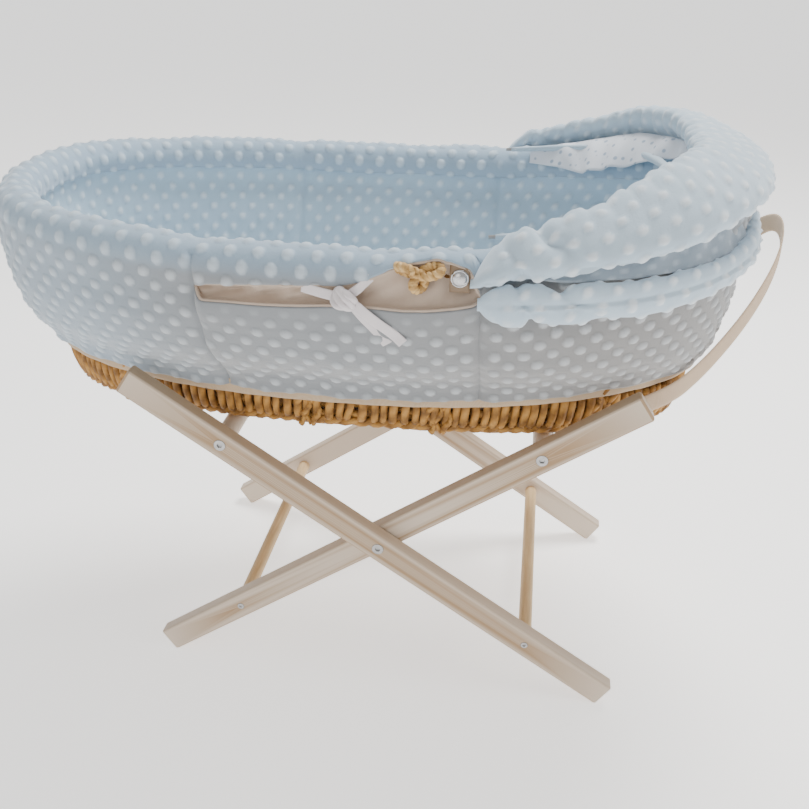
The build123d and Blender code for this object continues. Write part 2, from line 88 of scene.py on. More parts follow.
area_light("key", (0.5, 1.0, 2.3), (0, 0, 0.5), 1.1, 74, (1.0, 0.985, 0.96))
area_light("front", (-0.7, -2.3, 1.3), (0, 0, 0.35), 1.4, 10, (1.0, 0.93, 0.84))
area_light("side", (2.0, -0.5, 1.2), (0, 0, 0.4), 1.0, 12, (1.0, 0.95, 0.9))
w = bpy.data.worlds.new("studio"); bpy.context.scene.world = w; w.use_nodes = True
w.node_tree.nodes["Background"].inputs[0].default_value = (1.0, 0.985, 0.965, 1)
w.node_tree.nodes["Background"].inputs[1].default_value = 0.62

# ------------------------------------------------------------------ materials
def lin(c):
    return tuple(((v/255)/12.92 if v/255 <= 0.04045 else (((v/255)+0.055)/1.055)**2.4) for v in c)


class Mat:
    def __init__(self, name, rough=0.7, sheen=0.0, sheen_rough=0.4, metal=0.0, coat=0.0, spec=0.5):
        self.m = bpy.data.materials.new(name); self.m.use_nodes = True
        self.t = self.m.node_tree; self.n = self.t.nodes; self.l = self.t.links
        self.b = self.n["Principled BSDF"]
        self.b.inputs["Roughness"].default_value = rough
        self.b.inputs["Sheen Weight"].default_value = sheen
        self.b.inputs["Sheen Roughness"].default_value = sheen_rough
        self.b.inputs["Metallic"].default_value = metal
        self.b.inputs["Coat Weight"].default_value = coat
        self.b.inputs["Specular IOR Level"].default_value = spec
        self.co = self.n.new("ShaderNodeTexCoord").outputs["Object"]
        self.bumps = None

    def node(self, t, **kw):
        n = self.n.new(t)
        for k, v in kw.items():
            setattr(n, k, v)
        return n

    def mapped(self, scale, rot=(0, 0, 0)):
        m = self.node("ShaderNodeMapping"); m.inputs["Scale"].default_value = scale; m.inputs["Rotation"].default_value = rot
        self.l.new(self.co, m.inputs["Vector"]); return m.outputs[0]

    def noise(self, scale, detail=4, rough=0.6, vec=None):
        n = self.node("ShaderNodeTexNoise"); n.inputs["Scale"].default_value = scale
        n.inputs["Detail"].default_value = detail; n.inputs["Roughness"].default_value = rough
        self.l.new(vec or self.co, n.inputs["Vector"]); return n.outputs["Fac"]

    def wave(self, scale, vec=None, direction="X", dist=0.0):
        n = self.node("ShaderNodeTexWave", bands_direction=direction); n.inputs["Scale"].default_value = scale
        n.inputs["Distortion"].default_value = dist
        self.l.new(vec or self.co, n.inputs["Vector"]); return n.outputs["Fac"]

    def attr(self, name):
        return self.node("ShaderNodeAttribute", attribute_name=name).outputs["Fac"]

    def ramp(self, fac, stops):
        n = self.node("ShaderNodeValToRGB"); e = n.color_ramp.elements
        while len(e) < len(stops):
            e.new(0.5)
        for k, (p, c) in enumerate(stops):
            e[k].position = p; e[k].color = (*lin(c), 1) if len(c) == 3 else c
        self.l.new(fac, n.inputs[0]); return n.outputs[0]

    def mix(self, fac, a, b, mode="MIX"):
        n = self.node("ShaderNodeMix", data_type="RGBA", blend_type=mode)
        for s, v in ((0, fac), (6, a), (7, b)):
            if isinstance(v, (int, float)):
                n.inputs[s].default_value = v
            elif isinstance(v, tuple):
                n.inputs[s].default_value = (*lin(v), 1)
            else:
                self.l.new(v, n.inputs[s])
        return n.outputs[2]

    def math(self, op, a, b=0.5):
        n = self.node("ShaderNodeMath", operation=op)
        for s, v in ((0, a), (1, b)):
            if isinstance(v, (int, float)):
                n.inputs[s].default_value = v
            else:
                self.l.new(v, n.inputs[s])
        return n.outputs[0]

    def color(self, out):
        self.l.new(out, self.b.inputs["Base Color"])

    def rough(self, fac, lo, hi):
        n = self.node("ShaderNodeMapRange"); n.inputs["To Min"].default_value = lo; n.inputs["To Max"].default_value = hi
        self.l.new(fac, n.inputs[0]); self.l.new(n.outputs[0], self.b.inputs["Roughness"])

    def bump(self, height, strength, dist=0.001):
        n = self.node("ShaderNodeBump"); n.inputs["Strength"].default_value = strength; n.inputs["Distance"].default_value = dist
        self.l.new(height, n.inputs["Height"])
        if self.bumps:
            self.l.new(self.bumps, n.inputs["Normal"])
        self.bumps = n.outputs[0]
        self.l.new(self.bumps, self.b.inputs["Normal"])


def plush_mat(name, base, dot, deep, painted_shade=False):
    m = Mat(name, rough=0.85, sheen=0.55, sheen_rough=0.45, spec=0.25)
    d = m.attr("dot")
    c = m.mix(d, base, dot)
    n = m.noise(26, 3)
    c = m.mix(m.math("MULTIPLY", n, 0.22), c, deep)
    f = m.noise(900, 2)
    c = m.mix(m.math("MULTIPLY", f, 0.14), c, (240, 244, 246))
    # painted shade: where the per-vertex shade attribute is set, base and dots are pulled toward shaded grey-taupe
    # colours
    if painted_shade:
        c = m.mix(m.math("MULTIPLY", m.attr("twist_and_painted_shade"), 0.9), c, m.mix(d, (132, 128, 124), (178, 180, 182)))
    m.color(c)
    m.bump(m.noise(1400, 2), 0.35, 0.0006)
    m.bump(m.noise(420, 3), 0.30, 0.0010)
    return m.m


PLUSH = plush_mat("plush_blue", (186, 204, 216), (224, 234, 240), (160, 178, 192))
# outer cover: a darker copy of the plush, painted shade of the exterior, with more painted shade from its attribute
PLUSH_OUT_SHADED = plush_mat("plush_outer_shaded", (150, 176, 198), (200, 218, 231), (122, 148, 170), True)
PLUSH_IN = plush_mat("plush_inner", (168, 196, 216), (218, 232, 241), (140, 170, 194))
PLUSH_HOOD = plush_mat("plush_hood", (182, 204, 220), (228, 237, 243), (152, 178, 198))


def lining_mat():
    m = Mat("hood_lining", rough=0.8, sheen=0.3, spec=0.3)
    v = m.node("ShaderNodeTexVoronoi", feature="F1"); v.inputs["Scale"].default_value = 95; v.inputs["Randomness"].default_value = 0.25
    m.l.new(m.co, v.inputs["Vector"])
    dots = m.ramp(v.outputs["Distance"], [(0.0, (150, 168, 190)), (0.20, (160, 176, 196)), (0.30, (222, 228, 236)), (1.0, (224, 230, 238))])
    m.color(m.mix(m.math("MULTIPLY", m.noise(40), 0.2), dots, (196, 206, 220)))
    m.bump(m.noise(700, 2), 0.2, 0.0005)
    return m.m


LINING = lining_mat()


def weave_cloth(name, a, b, scale=900, sheen=0.15):
    m = Mat(name, rough=0.82, sheen=sheen, spec=0.3)
    wx = m.wave(scale, direction="X"); wz = m.wave(scale, direction="Z"); wy = m.wave(scale, direction="Y")
    g = m.math("MAXIMUM", m.math("MULTIPLY", wx, wz), m.math("MULTIPLY", wy, wz))
    c = m.mix(m.noise(30, 4), a, b)
    c = m.mix(m.math("MULTIPLY", g, 0.18), c, (250, 245, 238))
    m.color(c)
    m.bump(g, 0.25, 0.0004)
    m.bump(m.noise(120, 4), 0.25, 0.0012)
    return m.m


# hem binding: the beige base is painted shade on cream cloth
COTTON = weave_cloth("cotton_hem_shaded", (196, 172, 140), (172, 146, 116))
FACING = weave_cloth("cotton_facing", (204, 186, 170), (176, 156, 138))
TIE = weave_cloth("cotton_tie", (232, 226, 228), (208, 202, 206))
STRAP = weave_cloth("strap_twill", (214, 188, 160), (190, 164, 136), 1500)
# sling: the brown base is painted shade under the basket
SLING = weave_cloth("sling_canvas", (176, 150, 112), (140, 116, 82), 1200)
SHEET = weave_cloth("mattress_cotton", (238, 238, 236), (222, 224, 226), 1300)


def palm_mat(name, stops, bscale=260):
    m = Mat(name, rough=0.62, sheen=0.05, spec=0.4)
    tw = m.attr("twist_and_painted_shade")
    n = m.noise(60, 5)
    fac = m.math("ADD", m.math("MULTIPLY", tw, 0.45), m.math("MULTIPLY", n, 0.62))
    c = m.ramp(fac, stops)
    s = m.noise(bscale, 4, vec=m.mapped((0.35, 0.35, 1.6)))
    c = m.mix(m.math("MULTIPLY", s, 0.30), c, (92, 58, 18))
    m.color(c)
    m.rough(n, 0.45, 0.8)
    m.bump(tw, 0.5, 0.0012)
    m.bump(s, 0.45, 0.0009)
    return m.m


PALM = palm_mat("palm_leaf", [(0.0, (58, 36, 10)), (0.35, (126, 86, 30)), (0.62, (176, 126, 56)), (1.0, (212, 166, 92))])
ROPE = palm_mat("leaf_rope", [(0.0, (110, 78, 40)), (0.35, (176, 138, 82)), (0.62, (220, 180, 116)), (1.0, (240, 210, 156))])


def wood_paint():
    m = Mat("painted_wood", rough=0.5, coat=0.06, spec=0.4)
    n = m.noise(14, 5)
    g = m.noise(90, 5, vec=m.mapped((1.0, 1.0, 1.0), (0, 0, 0)))
    # painted shade: the tan base stands in for shade and warm light on white paint
    c = m.mix(n, (172, 140, 104), (156, 127, 92))
    c = m.mix(m.math("MULTIPLY", g, 0.22), c, (146, 118, 86))
    # painted highlight: sharp convex edges lightened towards cream
    p = m.node("ShaderNodeNewGeometry").outputs["Pointiness"]
    e = m.node("ShaderNodeMapRange"); e.inputs["From Min"].default_value = 0.52; e.inputs["From Max"].default_value = 0.60
    m.l.new(p, e.inputs[0])
    c = m.mix(m.math("MULTIPLY", e.outputs[0], 0.5), c, (240, 232, 220))
    m.color(c)
    m.rough(g, 0.38, 0.62)
    m.bump(m.noise(160, 3, vec=m.mapped((0.25, 1, 0.6))), 0.12, 0.0006)
    m.bump(m.noise(700, 2), 0.08, 0.0003)
    return m.m


PAINT = wood_paint()


def bare_wood():
    m = Mat("bare_wood", rough=0.55, spec=0.4)
    v = m.mapped((1.0, 0.08, 1.0))
    g = m.noise(220, 5, vec=v)
    c = m.ramp(g, [(0.2, (176, 138, 86)), (0.5, (206, 172, 120)), (0.8, (226, 198, 150))])
    c = m.mix(m.math("MULTIPLY", m.noise(9, 3), 0.4), c, (232, 218, 192))
    m.color(c); m.rough(g, 0.45, 0.7); m.bump(g, 0.15, 0.0005)
    return m.m


WOOD = bare_wood()


def metal(name, c1, c2, rough=0.3):
    m = Mat(name, rough=rough, metal=1.0)
    n = m.noise(220, 4)
    m.color(m.mix(n, c1, c2)); m.rough(n, rough-0.08, rough+0.16); m.bump(m.noise(900, 2), 0.05, 0.0002)
    return m.m


STEEL = metal("zinc_steel", (196, 196, 196), (150, 150, 150), 0.3)
RIVET = metal("rivet_silver", (214, 214, 216), (170, 170, 172), 0.22)


def leather():
    m = Mat("taupe_leather", rough=0.6)
    n = m.noise(70, 5)
    m.color(m.mix(n, (150, 128, 104), (116, 96, 76)))
    v = m.node("ShaderNodeTexVoronoi"); v.inputs["Scale"].default_value = 900; m.l.new(m.co, v.inputs["Vector"])
    m.bump(v.outputs["Distance"], 0.3, 0.0004)
    return m.m


LEATHER = leather()
FOAM = weave_cloth("foam", (236, 232, 214), (224, 218, 196), 600)

# ------------------------------------------------------------------ the shapes shared with the CAD, mm
XB, RIM_A, RIM_B, RIM_N = -41.5, 407.5, 232.0, 2.35
RIM_Z, FOOT_RISE, HEAD_RISE = 537.0, 16.0, 38.0
BASE_Z, WALL_T = 327.0, 8.0
HEM_Z, HEM_FOOT, HEM_HEAD = 374.0, 12.0, 26.0
WALL = [(BASE_Z+9.3, -402., 326., 148., 2.5), (BASE_Z+70, -416., 336., 161., 2.45), (BASE_Z+140, -435., 350., 198., 2.4),
        (BASE_Z+203, -453., 370., 236., RIM_N), (BASE_Z+290, -454., 371., 237., RIM_N)]
SKIRT = [(HEM_Z-2, -427., 354., 171., 2.4), (HEM_Z+26, -436., 357., 172.5, 2.4), (HEM_Z+60, -450., 363., 220., 2.4),
         (HEM_Z+106, -462., 371., 246., 2.38), (RIM_Z-5, -470., 386., 252., RIM_N), (RIM_Z+90, -471., 387., 253., RIM_N)]
MAT_L = (-372., 296., 134., 2.5)
BASE_Z0 = BASE_Z


def spow(v, e):
    return np.sign(v)*np.abs(v)**e


def smooth_level(levels, z):
    zs = np.array([l[0] for l in levels]); k = np.array([l[1:] for l in levels])
    z = np.clip(z, zs[0], zs[-1])
    # average of three nearby samples rounds the corners between levels
    out = 0
    for dz, wt in ((-12, 0.25), (0, 0.5), (12, 0.25)):
        zz = np.clip(z+dz, zs[0], zs[-1])
        out = out + wt*np.stack([np.interp(zz, zs, k[:, i]) for i in range(4)], -1)
    return out


def at(levels, t, z, d=0.0, soft=True):
    if soft:
        q = smooth_level(levels, z)
    else:
        zs = np.array([l[0] for l in levels]); k = np.array([l[1:] for l in levels])
        q = np.stack([np.interp(z, zs, k[:, i]) for i in range(4)], -1)
    l, r, b, n = q[..., 0], q[..., 1], q[..., 2], q[..., 3]
    xc, a = (l+r)/2, (r-l)/2
    return np.stack([xc+(a+d)*spow(np.cos(t), 2/n), (b+d)*spow(np.sin(t), 2/n), z+0*t], -1)


def rim_z(x):
    u = (x-XB)/RIM_A
    return RIM_Z + np.where(u > 0, HEAD_RISE*np.abs(u)**2.2, FOOT_RISE*u*u)


def hem_z(x):
    u = (x-XB)/RIM_A
    return HEM_Z + np.where(u > 0, HEM_HEAD*u*u, HEM_FOOT*u*u)


def rim_pt(t):
    x = XB + RIM_A*spow(np.cos(t), 2/RIM_N)
    return np.stack([x, RIM_B*spow(np.sin(t), 2/RIM_N), rim_z(x)], -1)


def even_t(n, lo=0.0, hi=2*pi):
    """Angles that give even steps along the rim."""
    tt = np.linspace(lo, hi, 8001)
    p = rim_pt(tt)
    s = np.concatenate([[0], np.cumsum(np.linalg.norm(np.diff(p, axis=0), axis=1))])
    return np.interp(np.linspace(0, s[-1], n, endpoint=abs(hi-lo-2*pi) > 1e-6), s, tt), s[-1]


def rim_normal(t):
    e = 1e-3
    d = rim_pt(t+e)-rim_pt(t-e)
    d[..., 2] = 0
    d /= np.linalg.norm(d, axis=-1, keepdims=True)
    return np.stack([d[..., 1], -d[..., 0], 0*d[..., 0]], -1)


def fnoise(p, scale, seed=0.0):
    """Smooth noise at points p (mm)."""
    q = p.reshape(-1, 3)/scale
    out = np.array([noise.noise(Vector((a[0]+seed, a[1]-seed, a[2]+0.5*seed))) for a in q])
    return out.reshape(p.shape[:-1])


def fast_noise(p, scale, seed=0):
    """Sum of a few fixed sine waves, cheap and smooth."""
    r = np.random.RandomState(seed)
    out = 0
    for k in range(6):
        d = r.normal(size=3); d /= np.linalg.norm(d)
        f = (0.6+0.9*r.rand())/scale
        out = out + np.sin((p @ d)*2*pi*f + r.rand()*6.28)
    return out/6


DOT_S = 28.0


def dots(s, v, pitch=28.0, rad=5.1):
    """Height 0..1 of a staggered pattern of domes over fabric coordinates in mm."""
    row = pitch*0.5
    best = np.full(np.broadcast(s, v).shape, 1e9)
    for sh in (0, 1):
        vv = v/row
        k = np.round((vv-sh)/2)*2+sh
        ss = (s - (sh*0.5)*pitch)/pitch
        j = np.round(ss)
        d = ((ss-j)*pitch)**2 + ((vv-k)*row)**2
        best = np.minimum(best, d)
    q = np.sqrt(best)/rad
    return np.clip(1-q*q, 0, 1)**0.62


def grid_mesh(name, P, closed_u=False, closed_v=False, attrs=None, keep=None, mat=None, smooth=True):
    nu, nv = P.shape[:2]
    verts = (P.reshape(-1, 3)+np.array([XS, 0, 0]))*MM
    iu = np.arange(nu if closed_u else nu-1); iv = np.arange(nv if closed_v else nv-1)
    I, J = np.meshgrid(iu, iv, indexing="ij")
    if keep is not None:
        k = keep[I, J]; I, J = I[k], J[k]
    I, J = I.ravel(), J.ravel()
    I2, J2 = (I+1) % nu, (J+1) % nv
    faces = np.stack([I*nv+J, I2*nv+J, I2*nv+J2, I*nv+J2], 1)
    me = bpy.data.meshes.new(name)
    me.from_pydata(verts.tolist(), [], faces.tolist())
    for k, a in (attrs or {}).items():
        at_ = me.attributes.new(k, "FLOAT", "POINT"); at_.data.foreach_set("value", a.reshape(-1).astype(np.float32))
    if smooth:
        me.polygons.foreach_set("use_smooth", [True]*len(me.polygons))
    me.update()
    o = bpy.data.objects.new(name, me); bpy.context.scene.collection.objects.link(o)
    if mat:
        me.materials.append(mat)
    return o


def normals_of(P, closed_u):
    if closed_u:
        du = np.roll(P, -1, 0)-np.roll(P, 1, 0)
    else:
        du = np.gradient(P, axis=0)
    dv = np.gradient(P, axis=1)
    n = np.cross(du, dv)
    n /= np.linalg.norm(n, axis=-1, keepdims=True)+1e-9
    return n


def solidify(o, t, offset=-1.0):
    m = o.modifiers.new("thick", "SOLIDIFY"); m.thickness = t*MM; m.offset = offset; m.use_even_offset = False
    return o


def bake(o):
    dg = bpy.context.evaluated_depsgraph_get()
    me = bpy.data.meshes.new_from_object(o.evaluated_get(dg))
    o.modifiers.clear()
    old = o.data; o.data = me
    return o


def smoothstep(a, b, x):
    q = np.clip((x-a)/(b-a), 0, 1)
    return q*q*(3-2*q)


STEP = 2.5

# ------------------------------------------------------------------ dressing: roll and skirt in one cover, with the handle slits
SEAMS_OUT = [-171.0, 106.0]
SLIT_A, SLIT_B = -168.0, 105.0


def lip_low(x):
    return 0.5*(np.interp(x, [-168, -76, -27, 31, 104], [507, 509, 515, 509, 518])+np.interp(x, [-168, -90, 0, 60, 104], [507, 508, 512, 510, 518]))


def lip_high(x):
    return (np.interp(x, [-165, -103, -26, 30, 58, 104], [524, 531, 531, 552, 557, 547])+np.interp(x, [-165, -60, 0, 40, 75, 104], [524, 531, 538, 552, 555, 547]))/2


def cover():
    n = int(2180/STEP)
    t, per = even_t(n)
    R = rim_pt(t); Nn = rim_normal(t)
    rr = 21.0
    x0 = R[:, 0]
    zt, zb = rim_z(x0), hem_z(x0)
    near = np.abs(R[:, 1]) > 60
    inside = smoothstep(SLIT_A, SLIT_A+14, x0)*(1-smoothstep(SLIT_B-14, SLIT_B, x0))*near
    mid = 519.0
    up = mid+(lip_high(x0)-mid)*inside
    lo = mid+(lip_low(x0)-mid)*inside
    # upper part: roll, then the skirt down to the upper lip, by arc length
    a_s = pi+0.45
    a_e = np.where(up > zt, np.arcsin(np.clip((up-zt)/rr, 0, 0.93)), 0.0)
    Lt = rr*(a_s-a_e)+np.clip(zt-up, 0, None)
    nr = int(100/STEP)
    P, V = [], []
    for k in range(nr+1):
        l = Lt*k/nr
        on = (l < rr*(a_s-a_e)) | (up > zt)
        a = a_s-np.minimum(l/rr, a_s-a_e)
        pr = R + Nn*(rr*np.cos(a))[:, None] + np.stack([0*a, 0*a, rr*np.sin(a)], -1)
        z = zt-np.clip(l-rr*(a_s-a_e), 0, None)
        sk = at(SKIRT, t, z)
        b = R + Nn*rr; b = b.copy(); b[:, 2] = z
        wg = smoothstep(0, 26, zt-z)[:, None]
        q = np.where(on[:, None], pr, b*(1-wg)+sk*wg)
        P.append(q); V.append(l)
    cut = len(P)-1
    m2 = int(150/STEP)
    for k in range(0, m2+1):
        f = k/m2
        z = lo + (zb-lo)*f
        P.append(at(SKIRT, t, z)); V.append(Lt+(up-lo)+(lo-z)*1.12)
    P = np.stack(P, 1); V = np.stack(V, 1)
    rowsN = P.shape[1]
    S = np.repeat((np.arange(n)/n*per)[:, None], rowsN, 1)
    k = round(per/DOT_S)*DOT_S/per
    S = S*k
    Nu = normals_of(P[:, :cut+1], True); Nl = normals_of(P[:, cut+1:], True)
    N_ = np.concatenate([Nu, Nl], 1)
    if (N_[:, int(nr*0.45), 2].mean()) < 0:
        N_ = -N_
    X, Z = P[..., 0], P[..., 2]
    side = np.abs(P[..., 1]) > 60
    base = 2.4*fast_noise(P, 120, 3) + 1.3*fast_noise(P, 46, 5)
    folds = np.zeros_like(base)
    for sx in SEAMS_OUT:
        folds -= 3.4*np.exp(-((X-sx)/3.6)**2)*side*(V > 60)
        folds += 1.2*np.exp(-((X-sx)/18.0)**2)*np.sin(Z/7.0)*side
    below = (np.arange(rowsN)[None, :] > cut)
    lip = below*np.exp(-(np.clip(lo[:, None]-Z, 0, None)/20.0)**2)*inside[:, None]
    lipu = (~below)*np.exp(-((Lt[:, None]-V)/12.0)**2)*inside[:, None]
    base = base + 5.5*lip + 2.4*lipu + folds
    # cover edge seam that runs round the head end under the hood
    base = base - 2.2*np.exp(-((Z-(zt[:, None]-38))/2.4)**2)*below*smoothstep(106, 130, X)
    hemf = np.exp(-(np.clip(Z-zb[:, None], 0, None)/16.0)**2)*below
    base = base - 3.0*hemf + 1.6*hemf*np.sin(S/13.0)
    D = dots(S, V)
    for sx in SEAMS_OUT:
        D = D*(1-np.exp(-((X-sx)/5.5)**2)*side)
    D = D*(1-0.7*np.exp(-((Z-zb[:, None])/5.0)**2)*below)
    D = D*(1-0.9*lip)
    Q = P + N_*(base + 3.1*D)[..., None]
    shut = ((up-lo) < 0.6)[:, None]
    seam_mid = 0.5*(Q[:, cut]+Q[:, cut+1])
    Q[:, cut] = np.where(shut, seam_mid, Q[:, cut]); Q[:, cut+1] = np.where(shut, seam_mid, Q[:, cut+1])
    for _ in range(2):
        for c_ in (cut-1, cut, cut+1, cut+2):
            lo_, hi_ = (c_-1 if c_ != cut+1 else cut-1), (c_+1 if c_ != cut else cut+2)
            Q[:, c_] = np.where(shut, 0.5*Q[:, c_]+0.25*(Q[:, lo_]+Q[:, hi_]), Q[:, c_])
    # the head end leans in under the hood; the foot end stays inside the outline
    Q[..., 0] -= 11.0*smoothstep(300, 392, Q[..., 0])*smoothstep(470, 530, Q[..., 2])
    Q[..., 0] += 11.0*smoothstep(-400, -474, Q[..., 0])
    # painted shade mask on the outer skirt below the roll, stronger towards the head end; it drives the shaded colours
    # of the outer plush
    painted_shade = (0.35+0.5*smoothstep(-340, -150, X)+0.15*smoothstep(-60, 260, X))*smoothstep(60, 84, V)
    keep = np.ones((n, rowsN), bool)
    keep[:, cut] = ~(((up-lo) > 0.6) & (np.roll(up-lo, -1) > 0.6))
    o = grid_mesh("cover_skirt_plush", Q, closed_u=True, attrs={"dot": D, "twist_and_painted_shade": painted_shade}, keep=keep, mat=PLUSH_OUT_SHADED)
    me = o.data
    bm = bmesh.new(); bm.from_mesh(me)
    bmesh.ops.remove_doubles(bm, verts=bm.verts, dist=0.0004)
    bm.to_mesh(me); bm.free()
    solidify(o, 3.0, -1.0 if True else 1.0)
    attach(o, "basket"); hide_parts("rim_roll", "cover_skirt")
    # lips of the slit for the trims
    return t, Q, cut, inside, up, lo


cover_t, cover_Q, cover_cut, cover_in, cover_up, cover_lo = cover()


def tube_mesh(name, pts, radii, sides=10, closed=False, mat=None, flat=1.0, attr=None):
    pts = np.asarray(pts, float); n = len(pts)
    radii = np.broadcast_to(np.asarray(radii, float), (n,))
    if closed:
        tg = np.roll(pts, -1, 0)-np.roll(pts, 1, 0)
    else:
        tg = np.gradient(pts, axis=0)
    tg /= np.linalg.norm(tg, axis=1, keepdims=True)+1e-9
    up = np.tile(np.array([0, 0, 1.0]), (n, 1))
    bad = np.abs(tg[:, 2]) > 0.9
    up[bad] = np.array([0, 1.0, 0])
    u = np.cross(tg, up); u /= np.linalg.norm(u, axis=1, keepdims=True)+1e-9
    v = np.cross(u, tg)
    a = np.arange(sides)/sides*2*pi
    P = pts[:, None, :] + radii[:, None, None]*(np.cos(a)[None, :, None]*u[:, None, :]*flat + np.sin(a)[None, :, None]*v[:, None, :])
    at_ = {"twist_and_painted_shade": np.zeros((n, sides)) if attr is None else attr(n, sides)}
    o = grid_mesh(name, P, closed_u=closed, closed_v=True, attrs=at_, mat=mat)
    if not closed:
        bm = bmesh.new(); bm.from_mesh(o.data)
        bmesh.ops.holes_fill(bm, edges=[e for e in bm.edges if e.is_boundary], sides=sides+2)
        bm.to_mesh(o.data); bm.free()
    return o


def join(objs, name):
    objs = [o for o in objs if o]
    bm = bmesh.new()
    mats = []
    first = objs[0]
    names = set()
    for o in objs:
        for a in o.data.attributes:
            pass
    me = bpy.data.meshes.new(name)
    vs, fs, ms, at_ = [], [], [], {}
    off = 0
    for o in objs:
        m = o.data
        co = np.empty(len(m.vertices)*3); m.vertices.foreach_get("co", co)
        vs.append(co.reshape(-1, 3))
        for p in m.polygons:
            fs.append([i+off for i in p.vertices])
            mt = m.materials[p.material_index] if m.materials else None
            if mt not in mats:
                mats.append(mt)
            ms.append(mats.index(mt))
        for k in ("twist_and_painted_shade", "dot"):
            if k in m.attributes:
                q = np.empty(len(m.vertices)); m.attributes[k].data.foreach_get("value", q)
                at_.setdefault(k, {})[off] = q
        off += len(m.vertices)
    me.from_pydata(np.concatenate(vs).tolist(), [], fs)
    for mt in mats:
        me.materials.append(mt)
    me.polygons.foreach_set("material_index", ms)
    me.polygons.foreach_set("use_smooth", [True]*len(fs))
    for k, d in at_.items():
        arr = np.zeros(off)
        for o_, q in d.items():
            arr[o_:o_+len(q)] = q
        a = me.attributes.new(k, "FLOAT", "POINT"); a.data.foreach_set("value", arr.astype(np.float32))
    me.update()
    bm.free()
    o = bpy.data.objects.new(name, me); bpy.context.scene.collection.objects.link(o)
    for q in objs:
        d = q.data
        bpy.data.objects.remove(q); bpy.data.meshes.remove(d)
    return o


# slit facings: cotton lining seen between the lips, folded in behind the lower lip
def facing(sign):
    sel = np.where((cover_in > 0.02) & (np.sign(cover_Q[:, 5, 1]) == -sign))[0]
    sel = sel[np.argsort(cover_Q[sel, 5, 0])]
    lo = cover_Q[sel, cover_cut+1]; up = cover_Q[sel, cover_cut]
    n = len(sel)
    out = []
    nr = 16
    w_ = cover_in[sel][:, None]
    inward = np.array([0, sign*1.0, 0])
    x = lo[:, 0]
    for k in range(nr):
        f = k/(nr-1)
        # from the lower lip, over a soft fold, up behind the upper lip
        p = lo*(1-f) + (up+np.array([0, 0, -1.5]))*f
        depth = 1.0 + 9.0*sin(pi*f)**0.7 + 3.0*f
        wr = 2.4*np.sin(x/17.0+f*5.0) + 1.6*np.sin(x/7.3-f*9.0)
        p = p + inward*((depth*w_) + wr[:, None]*w_*sin(pi*f)) + np.array([0, 0, 1.0])*(-1.0*(1-f))
        out.append(p)
    P = np.stack(out, 1)
    o = grid_mesh("slit_facing_%s_cloth" % ("near" if sign > 0 else "far"), P, mat=FACING)
    solidify(o, 1.2, 0)
    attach(o, "basket"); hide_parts("slit_facing_%s" % ("near" if sign > 0 else "far"))
    # piping along both lips
    a = tube_mesh("p1", lo + np.array([0, -sign*0.4, 0.6]), 1.9, 8, mat=FACING)
    b = tube_mesh("p2", up + np.array([0, -sign*0.2, -0.4]), 1.7, 8, mat=FACING)
    q = join([a, b], "slit_piping_%s" % ("near" if sign > 0 else "far"))
    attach(q, "basket")
    return o, P


f1, P1 = facing(1)
f2, P2 = facing(-1)


def strip_size(P):
    w = np.median(np.linalg.norm(np.diff(P, axis=1), axis=-1).sum(1))
    l = np.median(np.linalg.norm(np.diff(P, axis=0), axis=-1).sum(0))
    return float(w*MM), float(l*MM)


def cloth_area(P):
    a = np.cross(P[1:, :-1]-P[:-1, :-1], P[:-1, 1:]-P[:-1, :-1])
    return float(np.linalg.norm(a, axis=-1).sum()*1e-6)


for o, P in ((f1, P1), (f2, P2)):
    ar = cloth_area(P); w_, l_ = strip_size(P)
    l_ = max(l_, ar/w_)


# ------------------------------------------------------------------ liner: plush inside wall
def liner():
    n = int(2050/(STEP*1.15))
    t, per = even_t(n)
    R = rim_pt(t); Nn = rim_normal(t)
    zt = rim_z(R[:, 0])-8
    zb = BASE_Z+44
    m = int(185/(STEP*1.15))
    P = []
    for k in range(m+1):
        f = k/m
        z = zt+(zb-zt)*f
        a = at(WALL, t, z, -WALL_T-9.5)
        b = R - Nn*19.0; b = b.copy(); b[:, 2] = z
        wgt = smoothstep(0, 46, zt-z)[:, None]
        P.append(b*(1-wgt)+a*wgt)
    P = np.stack(P, 1)
    dv = np.linalg.norm(np.diff(P, axis=1), axis=-1)
    V = np.concatenate([np.zeros((n, 1)), np.cumsum(dv, 1)], 1)
    k = round(per/DOT_S)*DOT_S/per
    S = np.repeat((np.arange(n)/n*per*k)[:, None], m+1, 1)
    N_ = normals_of(P, True)
    c = P.mean((0, 1))
    if ((P-c)*N_).sum(-1).mean() > 0:
        N_ = -N_
    X = P[..., 0]
    side = np.abs(P[..., 1]) > 60
    base = 1.8*fast_noise(P, 110, 11) + 0.9*fast_noise(P, 40, 12)
    D = dots(S, V)
    for sx in (-165.0, 101.0):
        g = np.exp(-((X-sx)/3.2)**2)*side
        base = base - 3.0*g
        D = D*(1-np.exp(-((X-sx)/5.0)**2)*side)
    Q = P + N_*(base+2.7*D)[..., None]
    o = grid_mesh("liner_wall_plush", Q, closed_u=True, attrs={"dot": D}, mat=PLUSH_IN)
    solidify(o, 2.2, -1.0)
    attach(o, "basket"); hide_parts("liner_wall")


liner()


# ------------------------------------------------------------------ woven leaf wall and base
def strand_attr(pitch, phase=0.0):
    def f(n, sides):
        i = np.arange(n)[:, None]; j = np.arange(sides)[None, :]
        return 0.5+0.5*np.sin(2*pi*(i/pitch + j/sides)+phase)
    return f


